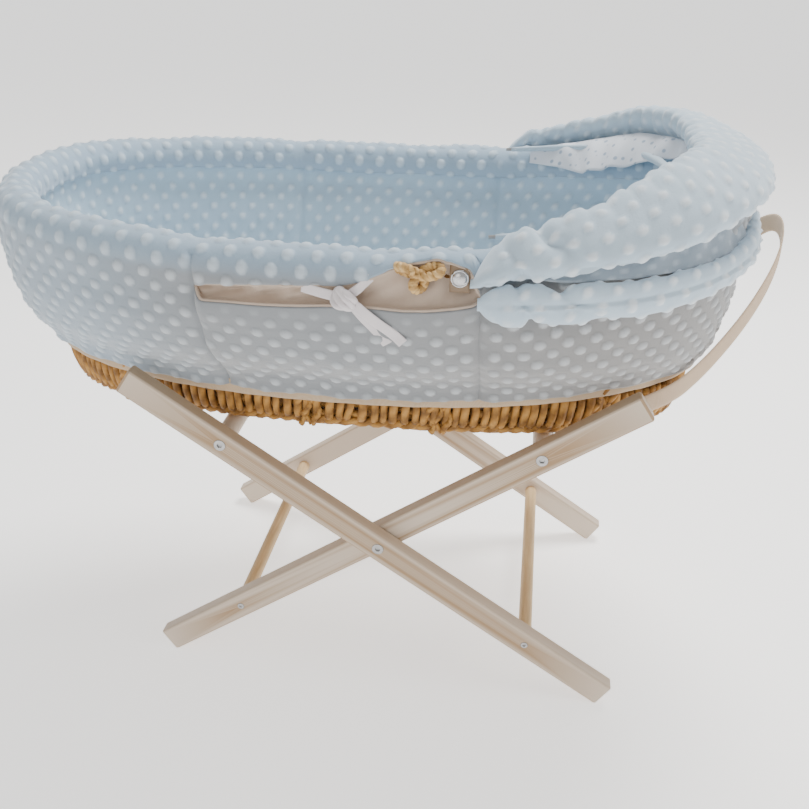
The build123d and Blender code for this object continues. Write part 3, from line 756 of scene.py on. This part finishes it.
def wall_weave():
    stake = 21.0
    objs = []
    rows = []
    z = BASE_Z+6
    k = 0
    while z < 528:
        rows.append(z)
        z += 9.6 if z < 420 else 13.0
    for k, z in enumerate(rows):
        per = 2000.0
        n = int((per/5.0) if z < 430 else per/9.0)
        t, L = even_t(n)
        d = -WALL_T/2
        P = at(WALL, t, np.full(n, float(z)), d)
        top = rim_z(P[:, 0])-11
        P[:, 2] = np.minimum(P[:, 2], top)
        s = np.arange(n)/n*L
        ns = int(round(L/stake/2))*2
        ph = 2*pi*(s/L*ns/2) + (pi if k % 2 else 0)
        Nn = rim_normal(t)
        amp = 3.0
        P = P + Nn*(amp*np.sin(ph))[:, None]
        P[:, 2] += 0.9*np.sin(s/37.0+k*1.7) + 0.6*np.sin(s/11.0+k)
        r = 4.7 + 0.7*np.sin(s/9.0+k*2.1) + 0.4*np.sin(s/4.1+k)
        objs.append(tube_mesh("r%d" % k, P, r if z < 420 else r*1.1, 7, closed=True, mat=PALM, flat=0.62, attr=strand_attr(6.0, k)))
    # stakes
    L = even_t(10)[1]
    ns = int(round(L/stake/2))*2
    t, _ = even_t(ns)
    for i in range(ns):
        zz = np.linspace(BASE_Z+4, float(rim_z(rim_pt(t[i:i+1])[0, 0]))-9, 22)
        P = at(WALL, np.full(22, t[i]), zz, -WALL_T/2)
        objs.append(tube_mesh("s%d" % i, P, 2.6, 5, mat=PALM, flat=1.5, attr=strand_attr(9.0, i)))
    nv = 176
    tv, _ = even_t(nv)
    for i in range(nv):
        f = np.linspace(0, 1, 9)
        zz = BASE_Z+11+f*(38+2.0*sin(i*2.3))
        P = at(WALL, tv[i]+0.010*f+0.003*sin(i*1.7), zz, 1.2+3.4*np.sin(pi*f)**0.6)
        objs.append(tube_mesh("v%d" % i, P, 4.5+0.5*sin(i*1.9), 7, mat=PALM, flat=1.05, attr=strand_attr(5.0, i)))
    # braided upright ribs on the long sides
    for sx in (-84.0, 62.0, -300.0, 240.0):
        for sign in (-1, 1):
            for j, off in enumerate((-9.0, 0.0, 9.0)):
                zz = np.linspace(BASE_Z+2, 440, 40)
                out = []
                for q, z_ in enumerate(zz):
                    lv = smooth_level(WALL, np.array(z_)); l, r, b, nn = lv
                    xc, a = (l+r)/2, (r-l)/2
                    x = sx+off+4.0*sin(q*0.55+j*2.1)
                    y = (b+5.6)*(1-abs((x-xc)/(a+5.6))**nn)**(1/nn) + 1.8*cos(q*0.55+j*2.1)
                    out.append((x, sign*y, z_))
                objs.append(tube_mesh("b", out, 3.6, 6, mat=PALM, flat=0.8, attr=strand_attr(5.0, j)))
    # border where wall meets base: a twisted two-strand edge
    for j in range(2):
        n = 420
        t, L = even_t(n)
        s = np.arange(n)/n*L
        P = at(WALL, t, np.full(n, BASE_Z+6.0), -1.0, soft=False)
        Nn = rim_normal(t)
        ph = s/L*2*pi*62 + j*pi
        P = P + Nn*(2.6*np.cos(ph))[:, None]; P[:, 2] += 2.8*np.sin(ph)+1.0
        objs.append(tube_mesh("e%d" % j, P, 4.2, 7, closed=True, mat=PALM, attr=strand_attr(5.0, j)))
    o = join(objs, "basket_wall_weave")
    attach(o, "basket"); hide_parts("basket_wall")


wall_weave()


def base_weave():
    objs = []
    l, r, b = -398.0, 322.0, 145.0
    k = 0
    d = 0.0
    while b-d > 6:
        n = max(60, int(2*(r-l)/7))
        t = np.linspace(0, 2*pi, n, endpoint=False)
        xc, a = (l+r)/2, (r-l)/2
        aa, bb = max(a-d, 6), max(b-d, 6)
        nn = 2.5
        P = np.stack([xc+aa*spow(np.cos(t), 2/nn), bb*spow(np.sin(t), 2/nn), np.full(n, BASE_Z+5.2)], -1)
        P[:, 2] += 1.4*np.sin(np.arange(n)*0.9+k*pi)
        objs.append(tube_mesh("c%d" % k, P, 4.6, 6, closed=True, mat=PALM, flat=1.0, attr=strand_attr(5.0, k)))
        d += 9.6; k += 1
    o = join(objs, "basket_base_weave")
    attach(o, "basket"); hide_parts("basket_base")


base_weave()


# ------------------------------------------------------------------ rope handles
def side_y(levels, x, z, d=0.0):
    l, r, b, n = smooth_level(levels, np.array(float(z)))
    xc, a = (l+r)/2, (r-l)/2
    return (b+d)*(1-abs((x-xc)/(a+d))**n)**(1/n)


def rope(sign):
    pts = []
    H0, H1 = -190.0, 46.0
    for k in range(41):
        u = k/40
        x = H0+(H1-H0)*u
        z = 499-62*sin(pi*u)**0.8
        pts.append(np.array((x, -sign*(side_y(WALL, x, z)+9.0), z)))
    pts = np.array(pts)
    objs = []
    n = 240
    cl = np.stack([np.interp(np.linspace(0, 40, n), np.arange(41), pts[:, i]) for i in range(3)], 1)
    tg = np.gradient(cl, axis=0); tg /= np.linalg.norm(tg, axis=1, keepdims=True)
    u = np.cross(tg, np.array([0, 1.0, 0])); u /= np.linalg.norm(u, axis=1, keepdims=True); v = np.cross(tg, u)
    for j in range(3):
        ph = np.arange(n)*0.34 + j*2*pi/3
        objs.append(tube_mesh("s", cl+3.1*(np.cos(ph)[:, None]*u+np.sin(ph)[:, None]*v), 3.3, 7, mat=ROPE, attr=strand_attr(7.0, j)))
    # pretzel knots at the ends
    for x, up_ in ((H0, 0.0), (H1, 0.0)):
        z = 543.0 if x > 0 else 500.0
        c = np.array((x+(2 if x > 0 else -8), -sign*(250.0 if x > 0 else side_y(WALL, x, z)+11.0), z))
        n2 = 130
        a = np.linspace(0, 2*pi, n2, endpoint=False)
        kx = 11.5*(np.sin(a)+1.4*np.sin(2*a)*0.75)
        kz = 9.0*(np.cos(a)-1.1*np.cos(2*a))*0.75+2
        ky = 4.4*np.sin(3*a)
        K = c + np.stack([kx, -sign*ky, kz], 1)
        tg = np.roll(K, -1, 0)-np.roll(K, 1, 0); tg /= np.linalg.norm(tg, axis=1, keepdims=True)
        uu = np.cross(tg, np.array([0, 0.3, 1.0])); uu /= np.linalg.norm(uu, axis=1, keepdims=True)+1e-9; vv = np.cross(tg, uu)
        for j in range(2):
            ph = a*16 + j*pi
            objs.append(tube_mesh("k", K+2.1*(np.cos(ph)[:, None]*uu+np.sin(ph)[:, None]*vv), 2.9, 7, closed=True, mat=ROPE, attr=strand_attr(6.0, j)))
    nm = "near" if sign > 0 else "far"
    o = join(objs, "rope_handle_%s_twist" % nm)
    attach(o, "basket"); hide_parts("rope_handle_%s" % nm)


rope(1); rope(-1)


# ------------------------------------------------------------------ tabs and domed rivets at the rope ends
def tabs():
    tb, rv = [], []
    for sign in (-1, 1):
        for x in (-222.0, 86.0):
            z = 543.0 if x > 0 else 499.0
            y = sign*(247.0 if x > 0 else side_y(WALL, x, z)+2.0)
            pts = [(x, y-sign*1.5, z-14), (x, y, z-5), (x, y+sign*0.4, z+5), (x, y-sign*2.5, z+13)]
            p = np.array(pts, float)
            q = np.stack([np.interp(np.linspace(0, 3, 14), np.arange(4), p[:, i]) for i in range(3)], 1)
            tb.append(ribbon_mesh("tab", q, 19.0, 2.2, (1, 0, 0), LEATHER))
            ring = []
            for k in range(9):
                f = k/8*pi/2
                r, h = 7.6*cos(f)+0.01, 3.6*sin(f)
                a = np.linspace(0, 2*pi, 28, endpoint=False)
                ring.append(np.stack([x+r*np.cos(a), y+sign*(1.4+h)+0*a, z+r*np.sin(a)], -1))
            ring.insert(0, ring[0]*np.array([1, 1, 1.0])-np.array([0, sign*1.2, 0]))
            rv.append(grid_mesh("rv", np.stack(ring, 0), closed_v=True, mat=RIVET))
            a = np.linspace(0, 2*pi, 28, endpoint=False)
            rv.append(tube_mesh("rr", np.stack([x+7.7*np.cos(a), y+sign*1.7+0*a, z+7.7*np.sin(a)], -1), 1.1, 8, closed=True, mat=RIVET))
    o = join(tb, "handle_tabs_leather"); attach(o, "basket"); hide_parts("handle_tabs")
    o = join(rv, "handle_rivets_domed"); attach(o, "basket"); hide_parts("handle_rivets")


# ------------------------------------------------------------------ hem binding
def hem():
    n = 700
    t, per = even_t(n)
    x = rim_pt(t)[:, 0]
    zb = hem_z(x)
    P = []
    for k in range(7):
        f = k/6
        z = zb+7-17*f
        d = -5.6 - 0.6*f + 0.5*np.sin(np.arange(n)/n*2*pi*45)*f
        a = at(SKIRT, t, np.maximum(z, zb-2), 0)
        Nn = rim_normal(t)
        a = a + Nn*d[:, None] if isinstance(d, np.ndarray) else a + Nn*d
        a[:, 2] = z
        P.append(a)
    P = np.stack(P, 1)
    o = grid_mesh("hem_binding_cloth", P, closed_u=True, mat=COTTON)
    solidify(o, 1.3, 0)
    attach(o, "basket"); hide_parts("hem_binding")
    Pc = np.concatenate([P, P[:1]], 0)
    ar = cloth_area(Pc); w_, l_ = strip_size(Pc); l_ = max(l_, ar/w_)


hem()


# ------------------------------------------------------------------ ribbons
def ribbon_mesh(name, pts, wide, thick, updir, mat, n=None, attr=None, taper=None):
    pts = np.asarray(pts, float); n = len(pts)
    tg = np.gradient(pts, axis=0); tg /= np.linalg.norm(tg, axis=1, keepdims=True)
    up = np.asarray(updir, float)
    if up.ndim == 1:
        up = np.tile(up, (n, 1))
    w_ = up - tg*(up*tg).sum(1, keepdims=True); w_ /= np.linalg.norm(w_, axis=1, keepdims=True)
    f = np.cross(tg, w_)
    prof = []
    for k in range(9):
        prof.append((-1+2*k/8, 0.5*(1-abs(-1+2*k/8)**6*0.65)))
    ring = [(a, b) for a, b in prof]+[(a, -b) for a, b in prof[::-1]]
    wd = np.broadcast_to(np.asarray(wide, float), (n,))
    P = np.stack([pts + w_*(wd[:, None]/2*a) + f*(thick*b) for a, b in ring], 1)
    o = grid_mesh(name, P, closed_v=True, mat=mat, attrs={"twist_and_painted_shade": np.zeros(P.shape[:2])})
    bm = bmesh.new(); bm.from_mesh(o.data)
    bmesh.ops.holes_fill(bm, edges=[e for e in bm.edges if e.is_boundary], sides=40)
    bm.to_mesh(o.data); bm.free()
    return o


tabs()


def nurbs(points, count_per=12):
    cu = bpy.data.curves.new("route", "CURVE"); cu.dimensions = "3D"
    sp = cu.splines.new("NURBS"); sp.points.add(len(points)-1)
    for p, q in zip(sp.points, points):
        p.co = (*q, 1)
    sp.use_endpoint_u = True; sp.order_u = 3; sp.resolution_u = count_per
    o = bpy.data.objects.new("route", cu); bpy.context.scene.collection.objects.link(o)
    me = bpy.data.meshes.new_from_object(o)
    out = np.array([v.co[:] for v in me.vertices])
    bpy.data.objects.remove(o); bpy.data.curves.remove(cu); bpy.data.meshes.remove(me)
    return out


LOOP = [(286, -112, 362), (312, -113, 376), (341, -98, 400), (366, -77, 424), (390, -51, 452), (409, -22, 482), (420, 8, 508),
        (422, 36, 523), (417, 66, 520), (403, 92, 500), (380, 110, 462), (351, 117, 425), (318, 118, 390), (286, 114, 364)]
route = nurbs([((x+XS)*MM, y*MM, z*MM) for x, y, z in LOOP])
rp = route/MM - np.array([XS, 0, 0])
_w = smoothstep(400, 520, rp[:, 2])
rp[:, 0] += 9.0*_w; rp[:, 2] += 6.0*_w
route = (rp+np.array([XS, 0, 0]))*MM
strap = ribbon_mesh("lifting_strap_band", rp, 20.0, 2.2, (0, 0, 1), STRAP)
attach(strap, "basket"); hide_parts("lifting_strap")
tuple(route[0])
[tuple(map(float, p)) for p in route]


def skirt_face(x, z, sign, d=0.0):
    """Point just off the finished cover on a long side."""
    q = cover_Q[:, cover_cut+1:]
    m = np.sign(q[..., 1]) == -sign
    dd = np.where(m, (q[..., 0]-x)**2+(q[..., 2]-z)**2, 1e9)
    i = np.unravel_index(np.argsort(dd, axis=None)[:6], dd.shape)
    y = np.max(np.abs(q[i][:, 1]))
    return np.array([x, -sign*(y+d), z])


def tie(sign):
    kx, kz = -20.0, 524.0
    objs = []
    c = skirt_face(kx, kz-2, sign, 6.0)
    # knot: two turns of flat tape
    for j, (rx, rz, tw) in enumerate(((8.5, 7.0, 0.0), (6.0, 9.0, 0.9))):
        a = np.linspace(0, 2*pi, 40, endpoint=False)
        K = c + np.stack([rx*np.cos(a+tw), -sign*(3.0+3.0*np.sin(a*2+j)), rz*np.sin(a)], 1)
        objs.append(tube_mesh("k", K, 3.4, 8, closed=True, mat=TIE, flat=1.4))
    objs.append(tube_mesh("k2", [c+np.array((-6, 0, -3)), c+np.array((0, -sign*2.5, 1)), c+np.array((6, 0, 4))], [3.5, 6.0, 3.5], 10, mat=TIE))
    # tapes across the slit to both lips
    def strap_line(pts, wid, up_):
        p = np.array(pts, float)
        q = np.stack([np.interp(np.linspace(0, len(p)-1, 40), np.arange(len(p)), p[:, i]) for i in range(3)], 1)
        for _ in range(12):
            q[1:-1] = (q[:-2]+q[2:]+2*q[1:-1])/4
        return ribbon_mesh("t", q, wid, 1.2, up_, TIE)
    # left tab: short, from the upper lip
    objs.append(strap_line([skirt_face(kx-42, kz+5, sign, 0.5), skirt_face(kx-24, kz+2, sign, 4.0), c], 10.0, (0, 0, 1)))
    # to the upper lip on the right
    objs.append(strap_line([c, c+np.array((14, 0, 11)), c+np.array((24, sign*6.0, 20))], 9.0, (0, 0, 1)))
    # tails
    for dx, dz, d0, up_ in ((34, -46, 3.0, (0.9, 0, 0.45)), (50, -42, 5.5, (0.8, 0, 0.6))):
        pts = [c]
        for q in (0.12, 0.3, 0.5, 0.7, 0.85, 1.0):
            p = skirt_face(kx+4+dx*q, kz-3+dz*q-4*q*q, sign, d0+1.5*sin(q*6))
            pts.append(p)
        objs.append(strap_line(pts, 10.5, up_))
    nm = "near" if sign > 0 else "far"
    o = join(objs, "slit_tie_%s_tape" % nm)
    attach(o, "basket"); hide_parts("slit_tie_%s" % nm)


tie(1); tie(-1)


# ------------------------------------------------------------------ mattress
def mattress():
    l, r, b, n = MAT_L
    xc, a = (l+r)/2, (r-l)/2
    nu = 260
    t = np.linspace(0, 2*pi, nu, endpoint=False)
    prof = [(-9, 338.5), (-3.5, 339.5), (-0.8, 343), (0.2, 350), (0.4, 357), (0, 363), (-2.5, 368), (-7, 370.3), (-14, 371.0)]
    P = [np.stack([xc+(a+d)*spow(np.cos(t), 2/n), (b+d)*spow(np.sin(t), 2/n), np.full(nu, z)], -1) for d, z in prof]
    for k in range(1, 26):
        f = k/25
        q = 1-f
        aa, bb = (a-14)*q + 0.5, (b-14)*q + 0.5
        z = 371.0 + 4.0*(1-q**2.4)
        P.append(np.stack([xc+aa*spow(np.cos(t), 2/n), bb*spow(np.sin(t), 2/n), np.full(nu, z)], -1))
    P = np.stack(P, 1)
    wob = fast_noise(P, 90, 21)*1.2 + fast_noise(P, 30, 22)*0.5
    P[..., 2] += wob*(P[..., 2] > 366)
    o = grid_mesh("mattress_padded", P, closed_u=True, mat=SHEET)
    bm = bmesh.new(); bm.from_mesh(o.data)
    bmesh.ops.holes_fill(bm, edges=[e for e in bm.edges if e.is_boundary], sides=600)
    bm.to_mesh(o.data); bm.free()
    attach(o, "basket"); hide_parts("mattress_core", "mattress_cover")
    pip = np.stack([xc+(a+0.3)*spow(np.cos(t), 2/n), (b+0.3)*spow(np.sin(t), 2/n), np.full(nu, 364.0)], -1)
    q = tube_mesh("mattress_piping", pip, 1.9, 8, closed=True, mat=SHEET)
    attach(q, "basket")


mattress()


# ------------------------------------------------------------------ hood
HX, HZ = 108.0, 566.0


def arc_path(u, x0, xe, yb):
    """u 0..2: near hinge, head end, far hinge."""
    a = -pi/2 + pi/2*u
    x = x0+(xe-x0)*np.abs(np.cos(a))**0.85
    y = yb*spow(np.sin(a), 0.9)
    return x, y


def arc_frame(x0, xe, yb, n):
    uu = np.linspace(0, 2, 6001)
    x, y = arc_path(uu, x0, xe, yb)
    s = np.concatenate([[0], np.cumsum(np.hypot(np.diff(x), np.diff(y)))])
    u = np.interp(np.linspace(0, s[-1], n), s, uu)
    x, y = arc_path(u, x0, xe, yb)
    dx, dy = np.gradient(x), np.gradient(y)
    q = np.hypot(dx, dy)
    return u, x, y, dy/q, -dx/q, np.linspace(0, s[-1], n)


def roll_surface(name, x0, xe, yb, zfun, wfun, hfun, lean, mat, pucker, body, replaces, step, droop=0.0, out=0.0, low=0.0, dots_on=True, shape=2.0, seam=None):
    L = arc_frame(x0, xe, yb, 10)[5][-1]
    n = int(L/step)
    u, x, y, nx, ny, S0 = arc_frame(x0, xe, yb, n)
    s = 1-np.abs(u-1)
    w_, h_ = wfun(s), hfun(s)
    rnd = np.sqrt(np.clip(1-(1-np.minimum(1, s/0.045))**2, 0.10, 1))
    w_, h_ = w_*rnd, h_*rnd
    lr = np.radians(lean+droop*(1-s)**0.8)*np.minimum(1, s*9+0.3)
    z = zfun(x, nx, w_, h_, lr, s) - low*(1-s)**0.8
    x = x+nx*out*(1-s); y = y+ny*out*(1-s)
    m = int(2*(w_.max()+h_.max())/step*0.85)
    f = np.linspace(0, 2*pi, m, endpoint=False)
    o_ = w_[:, None]/2*spow(np.cos(f), 2/shape)[None, :]
    v_ = h_[:, None]/2*spow(np.sin(f), 2/shape)[None, :]
    o2 = o_*np.cos(lr)[:, None]+v_*np.sin(lr)[:, None]
    v2 = -o_*np.sin(lr)[:, None]+v_*np.cos(lr)[:, None]
    P = np.stack([x[:, None]+nx[:, None]*o2, y[:, None]+ny[:, None]*o2, z[:, None]+v2], -1)
    Pc = np.concatenate([P, P[:, :1]], 1)
    V = np.concatenate([np.zeros((n, 1)), np.cumsum(np.linalg.norm(np.diff(Pc, axis=1), axis=-1), 1)], 1)[:, :-1]
    S = np.repeat(S0[:, None], m, 1)
    C = np.stack([x, y, z], -1)[:, None, :]
    N_ = P-C
    N_ /= np.linalg.norm(N_, axis=-1, keepdims=True)+1e-9
    end = np.minimum(1, s*13)[:, None]
    base = 1.4*fast_noise(P, 80, 31)*end
    # puckers: gathers running across the roll, deepest at its inner edge
    inner = np.clip(-np.cos(f), 0, 1)[None, :]**1.2
    ph = S/pucker*2*pi + 1.2*np.sin(S/53.0)
    ga = (np.abs(np.sin(ph/2))**0.6-0.6)
    wnd = np.exp(-((s-0.11)/0.15)**2)[:, None]
    dg = np.sin(S/8.6+V/17.0+1.6*np.sin(V/31.0+S/60.0))
    cr = -np.abs(np.sin(S/15.0+V/26.0+1.9*np.sin(S/41.0)))**8
    base = base + ga*(0.3+4.2*inner)*end + wnd*(1.8*dg+6.5*cr)*end + 0.7*fast_noise(P, 34, 37)*end
    if seam is not None:
        base = base - 3.2*np.exp(-((f[None, :]-seam)/0.10)**2)*end
    D = dots(S, V, DOT_S, 5.2)*end if dots_on else np.zeros_like(S)
    D = D*(1-0.45*inner)
    Q = P + N_*(base+2.9*D)[..., None]
    o = grid_mesh(name, Q, closed_v=True, attrs={"dot": D}, mat=mat)
    bm = bmesh.new(); bm.from_mesh(o.data)
    bmesh.ops.holes_fill(bm, edges=[e for e in bm.edges if e.is_boundary], sides=2000)
    bm.to_mesh(o.data); bm.free()
    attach(o, body)
    if replaces:
        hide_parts(*replaces)
    return o, Q


def canopy_z(x, nx, w_, h_, lr, s):
    return rim_z(np.minimum(x+nx*w_/2, XB+RIM_A))+21+h_/2+w_/2*np.sin(lr)-5.5


can, canQ = roll_surface("hood_canopy_plush", HX-12, 352.0, 226.0, canopy_z,
                         lambda s: 44+42*np.minimum(1, s*2.2), lambda s: 22+12*np.minimum(1, s*2.0), 12.0,
                         PLUSH_HOOD, 21.0, "hood", ["hood_canopy"], STEP, shape=2.3, droop=34.0, out=22.0, low=22.0)
bk, bkQ = roll_surface("hood_back_roll_plush", HX-4, 384.0, 262.0, lambda x, nx, w_, h_, lr, s: 524+24*s**1.3,
                       lambda s: 22-4*np.minimum(1, s*2.2), lambda s: 40-10*np.minimum(1, s*1.4), 0.0,
                       PLUSH_HOOD, 30.0, "basket", ["hood_back_roll"], STEP, shape=2.0, seam=0.2)


def hood_web():
    """Fabric between the back roll and the canopy, gathered at rest and spread when the hood is raised."""
    n = int(900/(STEP*1.3)); 
    u, x, y, nx, ny, S0 = arc_frame(HX+3, 374.0, 250.0, n)
    s = 1-np.abs(u-1)
    m = 26
    P = []
    zlo = 545+8*s
    zc = rim_z(np.minimum(x+8, XB+RIM_A))+21+17*np.minimum(1, s*5)
    pin = smoothstep(0.03, 0.13, s)
    zlo = 552-(552-zlo)*pin; zc = 552+(zc-552)*pin
    for k in range(m):
        f = k/(m-1)
        z = zlo+(zc-zlo)*f
        out = 6-10*f-7.0*np.sin(pi*f)
        P.append(np.stack([x+nx*out, y+ny*out, z], -1))
    P = np.stack(P, 1)
    S = np.repeat(S0[:, None], m, 1)
    V = np.repeat((np.arange(m)*4.0)[None, :], n, 0)
    N_ = normals_of(P, False)
    c = np.array([100.0, 0, 560])
    if ((P-c)*N_).sum(-1).mean() < 0:
        N_ = -N_
    base = 1.5*np.sin(S/8.0+np.sin(V/9.0))*np.minimum(1, s*5)[:, None]
    Q = P+N_*base[..., None]
    # the side fabric gets a fixed half-strength painted shade (grey) through the outer plush material
    o = grid_mesh("hood_side_fabric", Q, keep=np.repeat((s > 0.04)[:, None], m, 1), attrs={"dot": dots(S, V)*0.6, "twist_and_painted_shade": 0.5+0*S}, mat=PLUSH_OUT_SHADED)
    solidify(o, 1.6, 0)
    bake(o)
    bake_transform(o, "basket", "hood", start=(0.3, 0, 0.556), end=(0.3, 0, 0.607))


hood_web()


def hood_lining():
    """Underside of the folded hood: a soft crumpled lip inside the arch."""
    n = int(760/STEP)
    u, x, y, nx, ny, S0 = arc_frame(HX+6, 318.0, 196.0, n)
    s = 1-np.abs(u-1)
    m = 26
    far = smoothstep(1.0, 1.55, u)
    P = []
    zt = rim_z(x)+21+26*np.minimum(1, s*2)
    for k in range(m):
        f = k/(m-1)
        drop = (10+26*far*np.minimum(1, s*3))
        ins = (4+46*far*np.minimum(1, s*3.0))*f**1.1
        zz = zt + 6*sin(pi*f) - drop*f**1.4
        P.append(np.stack([x-nx*(ins-8), y-ny*(ins-8), zz], -1))
    P = np.stack(P, 1)
    S = np.repeat(S0[:, None], m, 1)
    F = np.repeat(np.linspace(0, 1, m)[None, :], n, 0)
    N_ = normals_of(P, False)
    wr = (3.2*np.sin(S/11.0+2*np.sin(S/31.0)) + 2.0*np.sin(S/6.1+F*5))*F*np.minimum(1, s*5)[:, None]
    Q = P+N_*wr[..., None]
    Q = Q[s > 0.05]
    o = grid_mesh("hood_lining_cloth", Q, mat=LINING)
    a = np.linspace(-pi/2+0.02, pi/2-0.02, 90)
    arch = np.stack([HX+(296.0-HX)*np.abs(np.cos(a))**0.85, 196.0*spow(np.sin(a), 0.9), HZ+2+22*np.cos(a)], -1)
    c_ = tube_mesh("hood_wire_casing", arch, 2.6+2.2*np.minimum(1, np.cos(a)*2.0)+0.3*np.sin(np.arange(90)*1.1), 10, mat=PLUSH_HOOD)
    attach(c_, "hood")
    solidify(o, 1.4, 0)
    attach(o, "hood")
    ar = cloth_area(Q); w_, l_ = strip_size(Q); w_ = max(w_, 0.02); l_ = max(l_, ar/w_)


hood_lining()


# ------------------------------------------------------------------ slings
def sling(sign):
    fx, hx, rz = -177.4, 177.4, 313.37
    R = 11.0+1.0
    pts = []
    # round the foot rail from below, over its top, across, over the head rail and under it
    for a in np.linspace(-200, 90, 28):
        pts.append((fx+R*cos(radians(180-a+0)) if False else fx-R*cos(radians(a)), 0, rz+R*sin(radians(a))))
    pts = [(fx-R*cos(radians(a)), 0, rz+R*sin(radians(a))) for a in np.linspace(-150, 90, 26)]
    mid = [(x, 0, rz+R-3.6*(1-(x/177.4)**2)) for x in np.linspace(fx+8, hx-8, 50)]
    end = [(hx+R*cos(radians(a)), 0, rz+R*sin(radians(a))) for a in np.linspace(90, -150, 26)]
    p = np.array(pts+mid+end, float)
    p[:, 1] = sign*78.0
    o = ribbon_mesh("sling_%s_band" % ("near" if sign < 0 else "far"), p, 48.0, 1.5, (0, 1, 0), SLING)
    if sign < 0:
        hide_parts("sling_strap_near", "sling_loops_head")
    else:
        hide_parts("sling_strap_far")
    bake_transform(o, "foot_frame", "head_frame", start=((fx+XS+14)*MM, 0, rz*MM), end=((hx+XS-14)*MM, 0, rz*MM))


sling(-1); sling(1)

# ------------------------------------------------------------------ materials on the CAD pieces that stay
KEEP = {"painted_wood": PAINT, "bare_wood": WOOD, "steel": STEEL, "webbing": SLING, "palm_leaf": PALM, "leaf_rope": ROPE,
        "leather_tab": LEATHER, "rivet_metal": RIVET, "foam": FOAM, "mattress_cotton": SHEET, "plush": PLUSH, "cotton_trim": COTTON,
        "tie_cotton": TIE, "strap_webbing": STRAP, "arch_wire": STEEL}
slots = {q["node"]: q["material_slot"] for q in frame["record"]["subparts"]}
for n_, ob in frame["nodes"].items():
    mt = KEEP[slots[n_]]
    if not ob.material_slots:
        continue
    for s_ in ob.material_slots:
        s_.material = mt

# ------------------------------------------------------------------ floor
def floor():
    me = bpy.data.meshes.new("floor")
    me.from_pydata([(-40, -40, -0.0005), (40, -40, -0.0005), (40, 40, -0.0005), (-40, 40, -0.0005)], [], [(0, 1, 2, 3)])
    o = bpy.data.objects.new("floor", me); bpy.context.scene.collection.objects.link(o)
    m = Mat("floor_pale", rough=0.9, spec=0.2)
    m.color(m.mix(m.noise(3, 2), (250, 250, 249), (246, 246, 245)))
    m.b.inputs["Emission Color"].default_value = (1, 1, 1, 1)
    m.b.inputs["Emission Strength"].default_value = 0.95
    me.materials.append(m.m)


floor()
